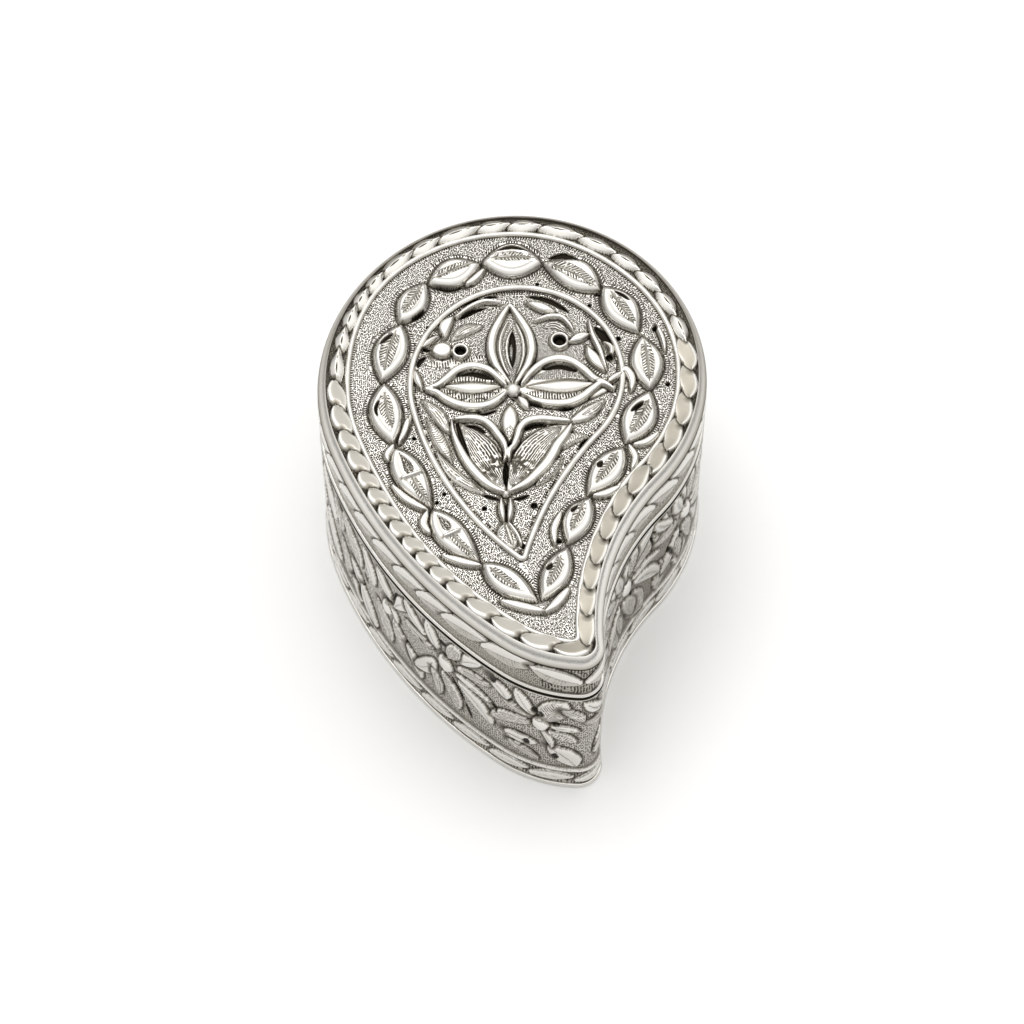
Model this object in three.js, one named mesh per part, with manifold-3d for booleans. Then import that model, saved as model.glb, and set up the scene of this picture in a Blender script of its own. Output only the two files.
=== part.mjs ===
// A small drop-shaped silver box with a lift-off lid, in millimetres, +Z up.
// The box stands on z = 0, with x = 0 and y = 0 at the middle of its plan.
// The drop's round head points along +Y and its small tip along -Y.

import * as THREE from 'three';
import { mergeVertices } from 'three/addons/utils/BufferGeometryUtils.js';
import Module from 'manifold-3d';

const wasm = await Module();
wasm.setup();

// The drop outline: tangent arcs, measured from the middle of the head circle
const HEAD_R = 29.4;
const BACK_R = 31.4;
const BACK_TURN = THREE.MathUtils.degToRad(113);
const TIP_X = 9.6;
const TIP_Y = -47.2;
const TIP_R = 3.5;
const TIP_SIDE_R = 21.9;
const TIP_TURN = THREE.MathUtils.degToRad(-92);
const FLANK_R = 73.6;
const HOLLOW_R = 36.8;
const SHARPEST_CORNER = 0.35;

// The stack of pieces, from the surface upwards
const FOOT_WIRE_H = 1.0;
const BODY_WALL_H = 29.0;
const MOUTH_WIRE_H = 0.8;
const SEAM_GAP = 0.3;
const EDGE_WIRE_H = 0.8;
const SKIRT_H = 8.2;
const RIM_H = 2.2;

// Sheet and wire sections
const WALL = 0.9;
const WALL_GROUND = 0.3;
const WIRE_PROUD = 0.12;
const FOOT_PROUD = 0.4;
const FOOT_FLARE = 0.2;
const FOOT_BORDER_H = 3.9;
const FOOT_LEDGE = 1.0;
const EDGE_ROUND = 0.25;
const PLATE_THICK = 0.8;
const TOP_THICK = 0.8;
const RIM_WIDE = 0.85;
const RIM_LEDGE = 1.2;
const RIM_DROP = 0.6;
const RIM_STEP = 0.1;
const RIM_STEP_H = 0.4;
const RIM_ROUND = 0.53;
const SOLDER_GAP = 0.3;

// The locating collar inside the mouth
const COLLAR_GAP = 0.3;
const COLLAR_THICK = 0.8;
const COLLAR_DOWN = 4.0;
const COLLAR_UP = 3.0;

// Raised lines, all of one section
const LINE_WIDE = 0.75;
const LINE_HIGH = 0.55;
const SINK = 0.3;
const WALL_SINK = 0.25;

// The border of lozenge leaves on the lid. Each leaf starts nearer the rim than it ends
const BORDER_INSET = 2.72;
const BORDER_LEAVES = 32;
const BORDER_LEAF_WIDE = 2.75;
const BORDER_LEAF_HIGH = 0.85;
const BORDER_TILT = 0.22;
const BORDER_START = 0.4;
const OUTER_LINE_INSET = 4.4;

// The garland on the lid, anticlockwise from the drop's tip: [length, width, inset]
const GARLAND_LEAF_HIGH = 1.35;
const GARLAND = [
  [9.9, 4.6, 8.3], [9.4, 5.1, 7.5], [10.3, 5.1, 8.0], [10.5, 5.1, 8.7], [10.1, 5.0, 9.2],
  [10.1, 5.1, 9.5], [10.3, 4.2, 9.6], [9.4, 6.2, 9.4], [9.0, 3.4, 8.9], [8.7, 5.0, 9.3],
  [11.1, 5.6, 10.0], [10.8, 5.3, 9.7], [12.7, 5.2, 8.8], [11.7, 5.0, 8.4], [10.9, 4.3, 8.5],
];

// The drop-shaped medallion, also measured from the head circle's middle
const MEDAL_X = 0.47;
const MEDAL_Y = -0.65;
const MEDAL_R = 15.88;
const MEDAL_BACK_R = 18.04;
const MEDAL_BACK_TURN = THREE.MathUtils.degToRad(125.3);
const MEDAL_TIP_X = 0.83;
const MEDAL_TIP_Y = -32.21;
const MEDAL_TIP_R = 0.5;
const MEDAL_TIP_SIDE_R = 2.76;
const MEDAL_TIP_TURN = THREE.MathUtils.degToRad(-125.3);
const MEDAL_FLANK_R = 47.9;
const MEDAL_HOLLOW_R = 54.9;

// The medallion's flower, measured from its boss
const FLOWER_X = -0.49;
const FLOWER_Y = -3.4;
const BOSS_R = 1.22;
const BOSS_RISE = 1.3;
const PETAL_HIGH = 1.0;
const BROAD_PETAL = 5;
const RELIEF_EDGE = 0.12;

// The chain of slanted leaves on the lid's skirt
const CHAIN_LEAVES = 37;
const CHAIN_RISE = 3.3;
const CHAIN_UP = 3.7;
const CHAIN_LEAF_LONG = 7.8;
const CHAIN_LEAF_WIDE = 2.9;
const WALL_LEAF_HIGH = 0.55;

// The leaves of the foot border
const FOOT_LEAVES = 30;
const FOOT_LEAF_WIDE = 2.2;
const FOOT_LEAF_HIGH = 0.45;
const FOOT_LEAF_RISE = 0.7;

// The frieze round the body: leaves and petals as [from s, from z, to s, to z, width].
// s runs along the outline from the tip, z up from the foot of the wall
const FRIEZE_NEAR_TIP = [
  [-6.3, 20.3, -3.3, 27.8, 4.6],
  [-5.3, 18.6, -0.6, 18.3, 2.0],
  [-5.7, 16.6, -1.2, 14.4, 2.6],
  [-6.6, 16.8, -4.9, 12.0, 1.5],
  [-5.6, 11.6, -0.9, 6.2, 4.4],
  [-13.0, 11.4, -7.2, 11.6, 3.0],
  [-8.0, 18.4, -15.2, 13.8, 3.0],
  [-8.0, 21.0, -10.4, 27.4, 2.2],
  [-15.8, 27.0, -12.3, 22.8, 2.8],
];
const FRIEZE_LEFT = [
  [-36.8, 21.0, -32.4, 27.6, 2.8],
  [-41.0, 27.4, -37.3, 22.0, 3.0],
  [-38.2, 20.0, -36.0, 16.6, 2.2],
  [-37.2, 16.0, -32.0, 7.6, 3.6],
  [-46.5, 13.0, -42.5, 5.0, 3.8],
  [-41.6, 16.0, -38.4, 6.6, 3.2],
  [-50.0, 16.0, -46.6, 11.6, 2.8],
  [-52.6, 26.4, -46.8, 18.6, 4.2],
  [-60.6, 15.4, -55.0, 6.6, 4.2],
  [-45.2, 27.2, -42.8, 18.8, 2.6],
  [-62.4, 26.4, -56.4, 18.0, 4.0],
];
const FRIEZE_RIGHT = [
  [9.6, 7.0, 12.4, 17.0, 4.2],
  [14.0, 19.0, 11.0, 27.0, 4.2],
  [17.6, 6.4, 18.6, 15.6, 4.2],
  [19.6, 18.0, 21.0, 27.4, 4.0],
  [24.5, 18.6, 28.5, 27.0, 4.4],
  [30.4, 18.4, 32.4, 27.0, 3.6],
  [35.3, 20.4, 36.9, 27.6, 4.2],
  [40.6, 21.0, 42.6, 27.8, 3.2],
  [28.4, 14.0, 31.4, 4.8, 5.4],
  [43.4, 13.4, 40.6, 5.6, 4.8],
  [36.0, 13.2, 35.2, 5.2, 3.0],
  [24.0, 15.0, 23.0, 5.2, 3.6],
  [46.6, 18.6, 48.6, 8.0, 4.0],
];

// One open flower of the frieze, from its boss, and where its copies stand
const FRIEZE_FLOWER = [
  [0.7, 2.2, 2.8, 8.2, 2.6],
  [-1.6, 2.4, -3.6, 8.4, 2.8],
  [3.0, 4.2, 7.0, 8.8, 2.8],
  [2.4, 1.0, 9.2, 3.2, 2.4],
  [2.6, -2.6, 9.4, -9.2, 3.4],
  [-1.0, -4.4, 2.4, -12.4, 3.0],
  [-2.4, -2.4, -6.4, -10.8, 3.2],
  [-2.4, 0.8, -8.4, 2.2, 2.4],
];
const FRIEZE_FLOWER_Z = 19.2;
const FRIEZE_FLOWERS = [-24.7, -73.0, -92.5, -112.0, 60.5, 79.5];
const FRIEZE_BOSSES = [[-6.8, 18.7], [-38.8, 17.6], [38.0, 17.6]];
const FRIEZE_BOSS_R = 1.7;
const FRIEZE_BOSS_RISE = 0.85;

const silver = (name, roughness) => {
  const material = new THREE.MeshStandardMaterial({ color: 0xd9d6cf, metalness: 1, roughness });
  material.name = name;
  return material;
};
const POLISHED = silver('polished_silver', 0.22);
const CHASED = silver('chased_silver', 0.34);
const PLAIN = silver('plain_silver', 0.3);

// Where two circles of the given radii round a and b meet, on the left of the way from a to b
function meet(a, ra, b, rb) {
  const span = b.clone().sub(a);
  const reach = span.length();
  const along = (ra * ra - rb * rb + reach * reach) / (2 * reach);
  const aside = Math.sqrt(Math.max(ra * ra - along * along, 0));
  span.normalize();
  return new THREE.Vector2(
    a.x + span.x * along - span.y * aside,
    a.y + span.y * along + span.x * aside,
  );
}

const bearing = (from, to) => Math.atan2(to.y - from.y, to.x - from.x);

function drop(sizes) {
  const { head, headR, backR, backTurn, tip, tipR, tipSideR, tipTurn, flankR, hollowR } = sizes;
  const aim = (turn) => new THREE.Vector2(Math.cos(turn), Math.sin(turn));
  const back = head.clone().addScaledVector(aim(backTurn), headR - backR);
  const side = tip.clone().addScaledVector(aim(tipTurn), tipR - tipSideR);
  const flank = meet(back, flankR - backR, side, flankR - tipSideR);
  const hollow = meet(head, hollowR + headR, tip, hollowR + tipR);
  return { ...sizes, back, side, flank, hollow };
}

// The arcs of a drop moved inwards; where the tip arc would vanish, a small
// fillet of SHARPEST_CORNER joins its two neighbours
function arcsOf(shape, inset) {
  const { head, back, tip, side, flank, hollow } = shape;
  let corner = tip;
  let cornerR = shape.tipR - inset;
  let sideEnd = shape.tipTurn;
  if (cornerR < SHARPEST_CORNER) {
    cornerR = SHARPEST_CORNER;
    corner = meet(
      hollow, shape.hollowR + inset + cornerR,
      side, shape.tipSideR - inset - cornerR,
    );
    sideEnd = bearing(side, corner);
  }
  return [
    { centre: head, r: shape.headR - inset, from: bearing(head, hollow), to: shape.backTurn },
    { centre: back, r: shape.backR - inset, from: shape.backTurn, to: bearing(flank, back) },
    { centre: flank, r: shape.flankR - inset, from: bearing(flank, back), to: bearing(flank, side) },
    { centre: side, r: shape.tipSideR - inset, from: bearing(flank, side), to: sideEnd },
    { centre: corner, r: cornerR, from: sideEnd, to: bearing(corner, hollow) },
    { centre: hollow, r: -(shape.hollowR + inset), from: bearing(hollow, corner),
      to: bearing(hollow, head) },
  ];
}

// How many straight steps each arc gets, in the order of arcsOf
const ARC_STEPS = [20, 9, 6, 4, 6, 7];
const TIP_STEP = ARC_STEPS[0] + ARC_STEPS[1] + ARC_STEPS[2] + ARC_STEPS[3];

// An arc that is used up before its end turns back on itself, so it gets no length
function sweepOf(arc) {
  const way = arc.r < 0 ? -1 : 1;
  let sweep = (arc.to - arc.from) * way;
  while (sweep < -Math.PI / 2) sweep += 2 * Math.PI;
  while (sweep > Math.PI * 1.5) sweep -= 2 * Math.PI;
  return way * Math.max(sweep, 0);
}

// Points round a drop at one inset, anticlockwise from the end of the hollow flank
function lane(shape, inset) {
  const points = [];
  arcsOf(shape, inset).forEach((arc, which) => {
    const sweep = sweepOf(arc);
    const steps = ARC_STEPS[which];
    for (let i = 0; i < steps; i += 1) {
      const turn = arc.from + (sweep * i) / steps;
      const r = Math.abs(arc.r);
      points.push(new THREE.Vector2(
        arc.centre.x + r * Math.cos(turn),
        arc.centre.y + r * Math.sin(turn),
      ));
    }
  });
  return points;
}

const RAW_DROP = drop({
  head: new THREE.Vector2(0, 0), headR: HEAD_R, backR: BACK_R, backTurn: BACK_TURN,
  tip: new THREE.Vector2(TIP_X, TIP_Y), tipR: TIP_R, tipSideR: TIP_SIDE_R,
  tipTurn: TIP_TURN, flankR: FLANK_R, hollowR: HOLLOW_R,
});
const HEAD = new THREE.Box2().setFromPoints(lane(RAW_DROP, 0)).getCenter(new THREE.Vector2()).negate();
const DROP = drop({ ...RAW_DROP, head: HEAD.clone(), tip: HEAD.clone().add(RAW_DROP.tip) });
const MEDAL_HEAD = HEAD.clone().add(new THREE.Vector2(MEDAL_X, MEDAL_Y));
const MEDALLION = drop({
  head: MEDAL_HEAD, headR: MEDAL_R, backR: MEDAL_BACK_R, backTurn: MEDAL_BACK_TURN,
  tip: HEAD.clone().add(new THREE.Vector2(MEDAL_TIP_X, MEDAL_TIP_Y)), tipR: MEDAL_TIP_R,
  tipSideR: MEDAL_TIP_SIDE_R, tipTurn: MEDAL_TIP_TURN, flankR: MEDAL_FLANK_R, hollowR: MEDAL_HOLLOW_R,
});

// Closed solids

function geometryOf(points, faces) {
  const geometry = new THREE.BufferGeometry();
  geometry.setAttribute('position', new THREE.Float32BufferAttribute(points.flat(), 3));
  geometry.setIndex(faces.flat());
  return geometry;
}

// A ring round a drop, from a section of [inset, z] corners: outer side upwards first
function ring(shape, section) {
  const lanes = section.map(([inset, z]) => lane(shape, inset).map((p) => [p.x, p.y, z]));
  const around = lanes[0].length;
  const points = lanes.flat();
  const faces = [];
  for (let j = 0; j < section.length; j += 1) {
    const next = (j + 1) % section.length;
    for (let i = 0; i < around; i += 1) {
      const after = (i + 1) % around;
      const a = j * around + i;
      const b = j * around + after;
      const c = next * around + after;
      const d = next * around + i;
      faces.push([a, b, c], [a, c, d]);
    }
  }
  return geometryOf(points, faces);
}

// A flat sheet that fills a drop at one inset
function sheet(shape, inset, bottom, thickness) {
  const outline = new THREE.Shape(lane(shape, inset));
  const solid = new THREE.ExtrudeGeometry(outline, { depth: thickness, bevelEnabled: false, steps: 1 });
  solid.translate(0, 0, bottom);
  return solid;
}

// A raised leaf with two pointed ends. place(u, v, h) puts a point that lies u along
// the leaf, v to its side and h above the ground where it belongs
function leaf(leafShape, place) {
  const { length, wide, high, across = [0.85, 0.7, 0.85], stations = 4, fullness = 0.8 } = leafShape;
  const count = across.length + 2;
  const points = [];
  const faces = [];
  const put = (u, v, h) => {
    points.push(place(u, v, h));
    return points.length - 1;
  };
  const tipAt = (u) => ({ top: put(u, 0, RELIEF_EDGE), bottom: put(u, 0, -SINK) });
  const start = tipAt(-length / 2);
  const loops = [];
  for (let s = 1; s <= stations; s += 1) {
    const t = s / (stations + 1);
    const half = (wide / 2) * Math.sin(Math.PI * t) ** fullness;
    const swell = Math.sin(Math.PI * t) ** 0.6;
    const u = length * (t - 0.5);
    const loop = [put(u, -half, -SINK), put(u, -half, RELIEF_EDGE)];
    across.forEach((share, k) => {
      const v = half * (-1 + (2 * (k + 1)) / (count - 1)) * 0.92;
      loop.push(put(u, v, RELIEF_EDGE + (high - RELIEF_EDGE) * share * swell));
    });
    loop.push(put(u, half, RELIEF_EDGE), put(u, half, -SINK));
    loops.push(loop);
  }
  const end = tipAt(length / 2);
  const top = count;
  const rim = (loop, k) => loop[k % loop.length];
  const close = (tip, loop, flip) => {
    const add = (a, b, c) => faces.push(flip ? [a, c, b] : [a, b, c]);
    add(tip.bottom, rim(loop, 0), rim(loop, 1));
    add(tip.bottom, rim(loop, 1), tip.top);
    for (let k = 1; k < top; k += 1) add(tip.top, rim(loop, k), rim(loop, k + 1));
    add(tip.top, rim(loop, top), rim(loop, top + 1));
    add(tip.top, rim(loop, top + 1), tip.bottom);
    add(tip.bottom, rim(loop, top + 1), rim(loop, 0));
  };
  close(start, loops[0], false);
  for (let s = 0; s + 1 < loops.length; s += 1) {
    for (let k = 0; k < loops[s].length; k += 1) {
      const a = rim(loops[s], k);
      const b = rim(loops[s + 1], k);
      const c = rim(loops[s + 1], k + 1);
      const d = rim(loops[s], k + 1);
      faces.push([a, b, c], [a, c, d]);
    }
  }
  close(end, loops[loops.length - 1], true);
  return geometryOf(points, faces);
}

function solidOf(geometry) {
  const bare = geometry.clone();
  bare.deleteAttribute('normal');
  bare.deleteAttribute('uv');
  const merged = mergeVertices(bare, 1e-4);
  const corners = Array.from(merged.index.array);
  const triangles = [];
  for (let i = 0; i < corners.length; i += 3) {
    const [a, b, c] = corners.slice(i, i + 3);
    if (a !== b && b !== c && c !== a) triangles.push(a, b, c);
  }
  return new wasm.Manifold(new wasm.Mesh({
    numProp: 3,
    vertProperties: Float32Array.from(merged.attributes.position.array),
    triVerts: Uint32Array.from(triangles),
  }));
}

function join(base, additions) {
  let solid = solidOf(base);
  for (const addition of additions) solid = solid.add(solidOf(addition));
  const mesh = solid.getMesh();
  const geometry = new THREE.BufferGeometry();
  geometry.setAttribute('position', new THREE.BufferAttribute(mesh.vertProperties, 3));
  geometry.setIndex(new THREE.BufferAttribute(mesh.triVerts, 1));
  return geometry;
}

// Walking along a lane by arc length, anticlockwise, from one of its points.
// The tip's arc is where a walk starts if nothing else is said

function walk(shape, inset, first = TIP_STEP) {
  const points = lane(shape, inset);
  const ordered = points.map((_, i) => points[(i + first) % points.length]);
  ordered.push(ordered[0]);
  const marks = [0];
  for (let i = 1; i < ordered.length; i += 1) {
    marks.push(marks[i - 1] + ordered[i].distanceTo(ordered[i - 1]));
  }
  const total = marks[marks.length - 1];
  return {
    total,
    at(s) {
      const spot = ((s % total) + total) % total;
      let i = 1;
      while (marks[i] < spot) i += 1;
      const share = (spot - marks[i - 1]) / (marks[i] - marks[i - 1]);
      return ordered[i - 1].clone().lerp(ordered[i], share);
    },
  };
}

// A flat-lying motif between two points of the top: +u runs from the first to the second
function between(a, b, ground) {
  const along = b.clone().sub(a).normalize();
  const middle = a.clone().add(b).multiplyScalar(0.5);
  return (u, v, h) => [
    middle.x + along.x * u - along.y * v,
    middle.y + along.y * u + along.x * v,
    ground + h,
  ];
}

// A motif that stands on a wall: +u runs up the given slope, from the point at s and z.
// out says how far the wall's face lies outside the walked lane at a height
function onWall(path, s, z, slope, out) {
  const reach = 0.4;
  return (u, v, h) => {
    const along = s + u * Math.cos(slope) - v * Math.sin(slope);
    const up = z + u * Math.sin(slope) + v * Math.cos(slope);
    const here = path.at(along);
    const run = path.at(along + reach).sub(path.at(along - reach)).normalize();
    const away = h + out(up);
    return [here.x + run.y * away, here.y - run.x * away, up];
  };
}

// A leaf on a wall, from one point to another, with a crest along its middle
function wallLeaf(path, [s0, z0, s1, z1, wide], high, out) {
  const long = Math.hypot(s1 - s0, z1 - z0);
  const place = onWall(path, (s0 + s1) / 2, (z0 + z1) / 2, Math.atan2(z1 - z0, s1 - s0), out);
  const buried = (wide / 2) * (1 + WALL_SINK / high);
  const points = [place(-long / 2, 0, 0), place(long / 2, 0, 0)];
  for (const u of [-long / 6, long / 6]) {
    points.push(place(u, -buried, -WALL_SINK), place(u, 0, high), place(u, buried, -WALL_SINK));
  }
  const faces = [
    [0, 2, 3], [0, 3, 4], [0, 4, 2], [1, 6, 5], [1, 7, 6], [1, 5, 7],
    [2, 5, 6], [2, 6, 3], [3, 6, 7], [3, 7, 4], [4, 7, 5], [4, 5, 2],
  ];
  return geometryOf(points, faces);
}

// A low dome. place(u, v, h) puts a point as it does for a leaf
function dome(radius, rise, place, around = 10) {
  const points = [place(0, 0, -SINK), place(0, 0, rise)];
  const levels = [[radius, -SINK], [radius, 0], [radius * 0.8, rise * 0.6], [radius * 0.42, rise * 0.91]];
  for (const [r, h] of levels) {
    for (let i = 0; i < around; i += 1) {
      const turn = (2 * Math.PI * i) / around;
      points.push(place(r * Math.cos(turn), r * Math.sin(turn), h));
    }
  }
  const faces = [];
  for (let i = 0; i < around; i += 1) {
    const next = (i + 1) % around;
    faces.push([0, 2 + next, 2 + i]);
    for (let level = 0; level + 1 < levels.length; level += 1) {
      const low = 2 + level * around;
      const high = low + around;
      faces.push([low + i, low + next, high + next], [low + i, high + next, high + i]);
    }
    const last = 2 + (levels.length - 1) * around;
    faces.push([last + i, last + next, 1]);
  }
  return geometryOf(points, faces);
}

// The heights of the stack
const wallZ = FOOT_WIRE_H;
const mouthZ = wallZ + BODY_WALL_H;
const seamZ = mouthZ + MOUTH_WIRE_H;
const lidZ = seamZ + SEAM_GAP;
const skirtZ = lidZ + EDGE_WIRE_H;
const rimZ = skirtZ + SKIRT_H;
const topZ = rimZ + RIM_H;
const groundZ = topZ - RIM_DROP;
const sheetZ = groundZ - TOP_THICK;

// The pieces

function footWire() {
  const out = -FOOT_PROUD;
  const inner = WALL + FOOT_LEDGE;
  return ring(DROP, [
    [out + EDGE_ROUND, 0], [out, EDGE_ROUND], [out, FOOT_WIRE_H - EDGE_ROUND], [out + EDGE_ROUND, FOOT_WIRE_H],
    [inner, FOOT_WIRE_H], [inner, 0],
  ]);
}

function bottomPlate() {
  return sheet(DROP, WALL + SOLDER_GAP, FOOT_WIRE_H, PLATE_THICK);
}

// How far the body's wall stands out over the foot border
const flareZ = wallZ + FOOT_BORDER_H;
const flare = (z) => FOOT_FLARE * Math.min(Math.max((flareZ - z) / FOOT_BORDER_H, 0), 1);
const straight = () => 0;

function frieze(path) {
  const rows = [...FRIEZE_NEAR_TIP, ...FRIEZE_LEFT, ...FRIEZE_RIGHT];
  for (const s of FRIEZE_FLOWERS) {
    for (const [s0, z0, s1, z1, wide] of FRIEZE_FLOWER) {
      rows.push([s + s0, FRIEZE_FLOWER_Z + z0, s + s1, FRIEZE_FLOWER_Z + z1, wide]);
    }
  }
  const bosses = [...FRIEZE_BOSSES, ...FRIEZE_FLOWERS.map((s) => [s, FRIEZE_FLOWER_Z])];
  return [
    ...rows.map(([s0, z0, s1, z1, wide]) => wallLeaf(
      path, [s0, wallZ + z0, s1, wallZ + z1, wide], WALL_LEAF_HIGH, straight,
    )),
    ...bosses.map(([s, z]) => dome(FRIEZE_BOSS_R, FRIEZE_BOSS_RISE, onWall(path, s, wallZ + z, 0, straight), 8)),
  ];
}

function footBorder(path) {
  const pitch = path.total / FOOT_LEAVES;
  const middle = wallZ + FOOT_BORDER_H / 2 - FOOT_LEAF_RISE / 2;
  return Array.from({ length: FOOT_LEAVES }, (_, i) => wallLeaf(
    path, [i * pitch, middle, (i + 1) * pitch, middle + FOOT_LEAF_RISE, FOOT_LEAF_WIDE], FOOT_LEAF_HIGH, flare,
  ));
}

// The wall flares a little over the foot border and carries one raised line and the frieze
function bodyWall() {
  const wall = ring(DROP, [
    [WALL_GROUND - FOOT_FLARE, wallZ],
    [WALL_GROUND, flareZ],
    [WALL_GROUND - LINE_HIGH / 2, flareZ + LINE_WIDE * 0.25],
    [WALL_GROUND - LINE_HIGH / 2, flareZ + LINE_WIDE * 0.75],
    [WALL_GROUND, flareZ + LINE_WIDE],
    [WALL_GROUND, mouthZ],
    [WALL, mouthZ],
    [WALL, wallZ],
  ]);
  const path = walk(DROP, WALL_GROUND);
  return join(wall, [...footBorder(path), ...frieze(path)]);
}

function wire(bottom, height) {
  const round = Math.min(0.2, height / 3);
  return ring(DROP, [
    [round - WIRE_PROUD, bottom], [-WIRE_PROUD, bottom + round],
    [-WIRE_PROUD, bottom + height - round], [round - WIRE_PROUD, bottom + height],
    [WALL, bottom + height], [WALL, bottom],
  ]);
}

function innerCollar() {
  const outer = WALL + COLLAR_GAP;
  const inner = outer + COLLAR_THICK;
  const bottom = seamZ - COLLAR_DOWN;
  const crown = seamZ + COLLAR_UP;
  return ring(DROP, [
    [outer, bottom], [outer, crown - EDGE_ROUND], [outer + EDGE_ROUND, crown], [inner, crown], [inner, bottom],
  ]);
}

// The lid's skirt carries a chain of leaves, each one overlapping the next
function lidSkirt() {
  const band = ring(DROP, [[WALL_GROUND, skirtZ], [WALL_GROUND, rimZ], [WALL, rimZ], [WALL, skirtZ]]);
  const path = walk(DROP, WALL_GROUND);
  const pitch = path.total / CHAIN_LEAVES;
  const across = Math.sqrt(CHAIN_LEAF_LONG ** 2 - CHAIN_RISE ** 2);
  const low = skirtZ + CHAIN_UP;
  return join(band, Array.from({ length: CHAIN_LEAVES }, (_, i) => wallLeaf(
    path, [i * pitch, low, i * pitch + across, low + CHAIN_RISE, CHAIN_LEAF_WIDE], WALL_LEAF_HIGH, straight,
  )));
}

// A rounded moulding with a ledge inside, on which the top sheet lies
function rimMoulding() {
  const section = [[RIM_STEP, rimZ], [0, rimZ + RIM_STEP_H]];
  for (const turn of [150, 120, 90, 60]) {
    const angle = THREE.MathUtils.degToRad(turn);
    section.push([RIM_ROUND * (1 + Math.cos(angle)), topZ - RIM_ROUND * (1 - Math.sin(angle))]);
  }
  section.push([RIM_WIDE, groundZ - RIM_STEP], [RIM_WIDE, sheetZ]);
  section.push([RIM_WIDE + RIM_LEDGE, sheetZ], [RIM_WIDE + RIM_LEDGE, rimZ]);
  return ring(DROP, section);
}

// A raised line on the top sheet
function raisedLine(shape, inset) {
  const half = LINE_WIDE / 2;
  return ring(shape, [
    [inset - half, groundZ - SINK], [inset - half / 2, groundZ + LINE_HIGH],
    [inset + half / 2, groundZ + LINE_HIGH], [inset + half, groundZ - SINK],
  ]);
}

function borderLeaves() {
  const near = walk(DROP, BORDER_INSET - BORDER_TILT, 0);
  const far = walk(DROP, BORDER_INSET + BORDER_TILT, 0);
  const share = 1 / BORDER_LEAVES;
  return Array.from({ length: BORDER_LEAVES }, (_, i) => {
    const start = (i - BORDER_START) * share;
    const a = near.at(start * near.total);
    const b = far.at((start + share) * far.total);
    const size = { length: a.distanceTo(b), wide: BORDER_LEAF_WIDE, high: BORDER_LEAF_HIGH };
    return leaf({ ...size, across: [1], stations: 2 }, between(a, b, groundZ));
  });
}

function garlandLeaves() {
  const whole = GARLAND.reduce((sum, [length]) => sum + length, 0);
  let reached = 0;
  return GARLAND.map(([length, wide, inset]) => {
    const path = walk(DROP, inset);
    const a = path.at((reached / whole) * path.total);
    reached += length;
    const b = path.at((reached / whole) * path.total);
    return leaf({ length: a.distanceTo(b) * 0.97, wide, high: GARLAND_LEAF_HIGH }, between(a, b, groundZ));
  });
}

// Petals and leaves of the flower: [from x, from y, to x, to y, width], from the boss
const FLOWER_PARTS = [
  [0, 1.0, -0.6, 15.2, 6.6],
  [-1.0, 0.1, -13.4, 0.1, 7.2],
  [1.0, 0.1, 15.3, 0.5, 7.4],
  [-0.5, -2.2, -0.5, -8.4, 2.3],
  [-1.1, -18.4, -8.9, -5.4, 5.6],
  [-0.9, -18.4, 8.4, -5.9, 5.8],
  [-1.0, -18.6, -1.1, -23.2, 2.1],
  [-1.0, -23.2, -0.4, -27.4, 3.2],
  [-4.4, 7.6, -13.4, 4.6, 3.4],
  [-3.2, 13.6, -9.8, 9.4, 3.2],
  [4.2, 7.8, 14.0, 5.6, 3.4],
  [3.0, 13.8, 10.4, 9.8, 3.2],
  [-6.0, -4.6, -12.6, -4.2, 2.8],
  [6.4, -5.0, 12.8, -3.4, 2.8],
  [-4.4, -17.4, -9.6, -9.6, 2.6],
  [3.0, -18.6, 8.0, -10.4, 2.6],
];

function flower() {
  const boss = HEAD.clone().add(new THREE.Vector2(FLOWER_X, FLOWER_Y));
  const parts = FLOWER_PARTS.map(([x0, y0, x1, y1, wide]) => {
    const a = new THREE.Vector2(x0, y0).add(boss);
    const b = new THREE.Vector2(x1, y1).add(boss);
    const across = wide > BROAD_PETAL ? [1, 0.55, 1] : [1];
    return leaf({ length: a.distanceTo(b), wide, high: PETAL_HIGH, across, stations: 3 }, between(a, b, groundZ));
  });
  const onTop = (u, v, h) => [boss.x + u, boss.y + v, groundZ + h];
  return [...parts, dome(BOSS_R, BOSS_RISE, onTop)];
}

function lidTop() {
  const base = sheet(DROP, RIM_WIDE + SOLDER_GAP, sheetZ, TOP_THICK);
  return join(base, [
    raisedLine(DROP, OUTER_LINE_INSET),
    raisedLine(MEDALLION, 0),
    ...borderLeaves(),
    ...garlandLeaves(),
    ...flower(),
  ]);
}

const box = new THREE.Group();

function add(name, geometry, material) {
  const mesh = new THREE.Mesh(geometry, material);
  mesh.name = name;
  box.add(mesh);
}

add('foot_wire', footWire(), POLISHED);
add('bottom_plate', bottomPlate(), PLAIN);
add('body_wall', bodyWall(), CHASED);
add('mouth_wire', wire(mouthZ, MOUTH_WIRE_H), POLISHED);
add('inner_collar', innerCollar(), PLAIN);
add('lid_edge_wire', wire(lidZ, EDGE_WIRE_H), POLISHED);
add('lid_skirt', lidSkirt(), CHASED);
add('rim_moulding', rimMoulding(), POLISHED);
add('lid_top', lidTop(), CHASED);

export default box;
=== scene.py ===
# %% [markdown]
# # A drop-shaped silver box with a lift-off lid
# The real box is raised from sheet silver. Its maker bent plain strips and drawn wires round one
# drop-shaped outline, and hammered the sheet between them from both sides until leaves and petals
# stood up from a punched ground. This file follows that order: the fixed frame first, then the
# outline and the camera, then the silver, the plain wires and the worked sheets, and last the
# table and the light.

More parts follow.
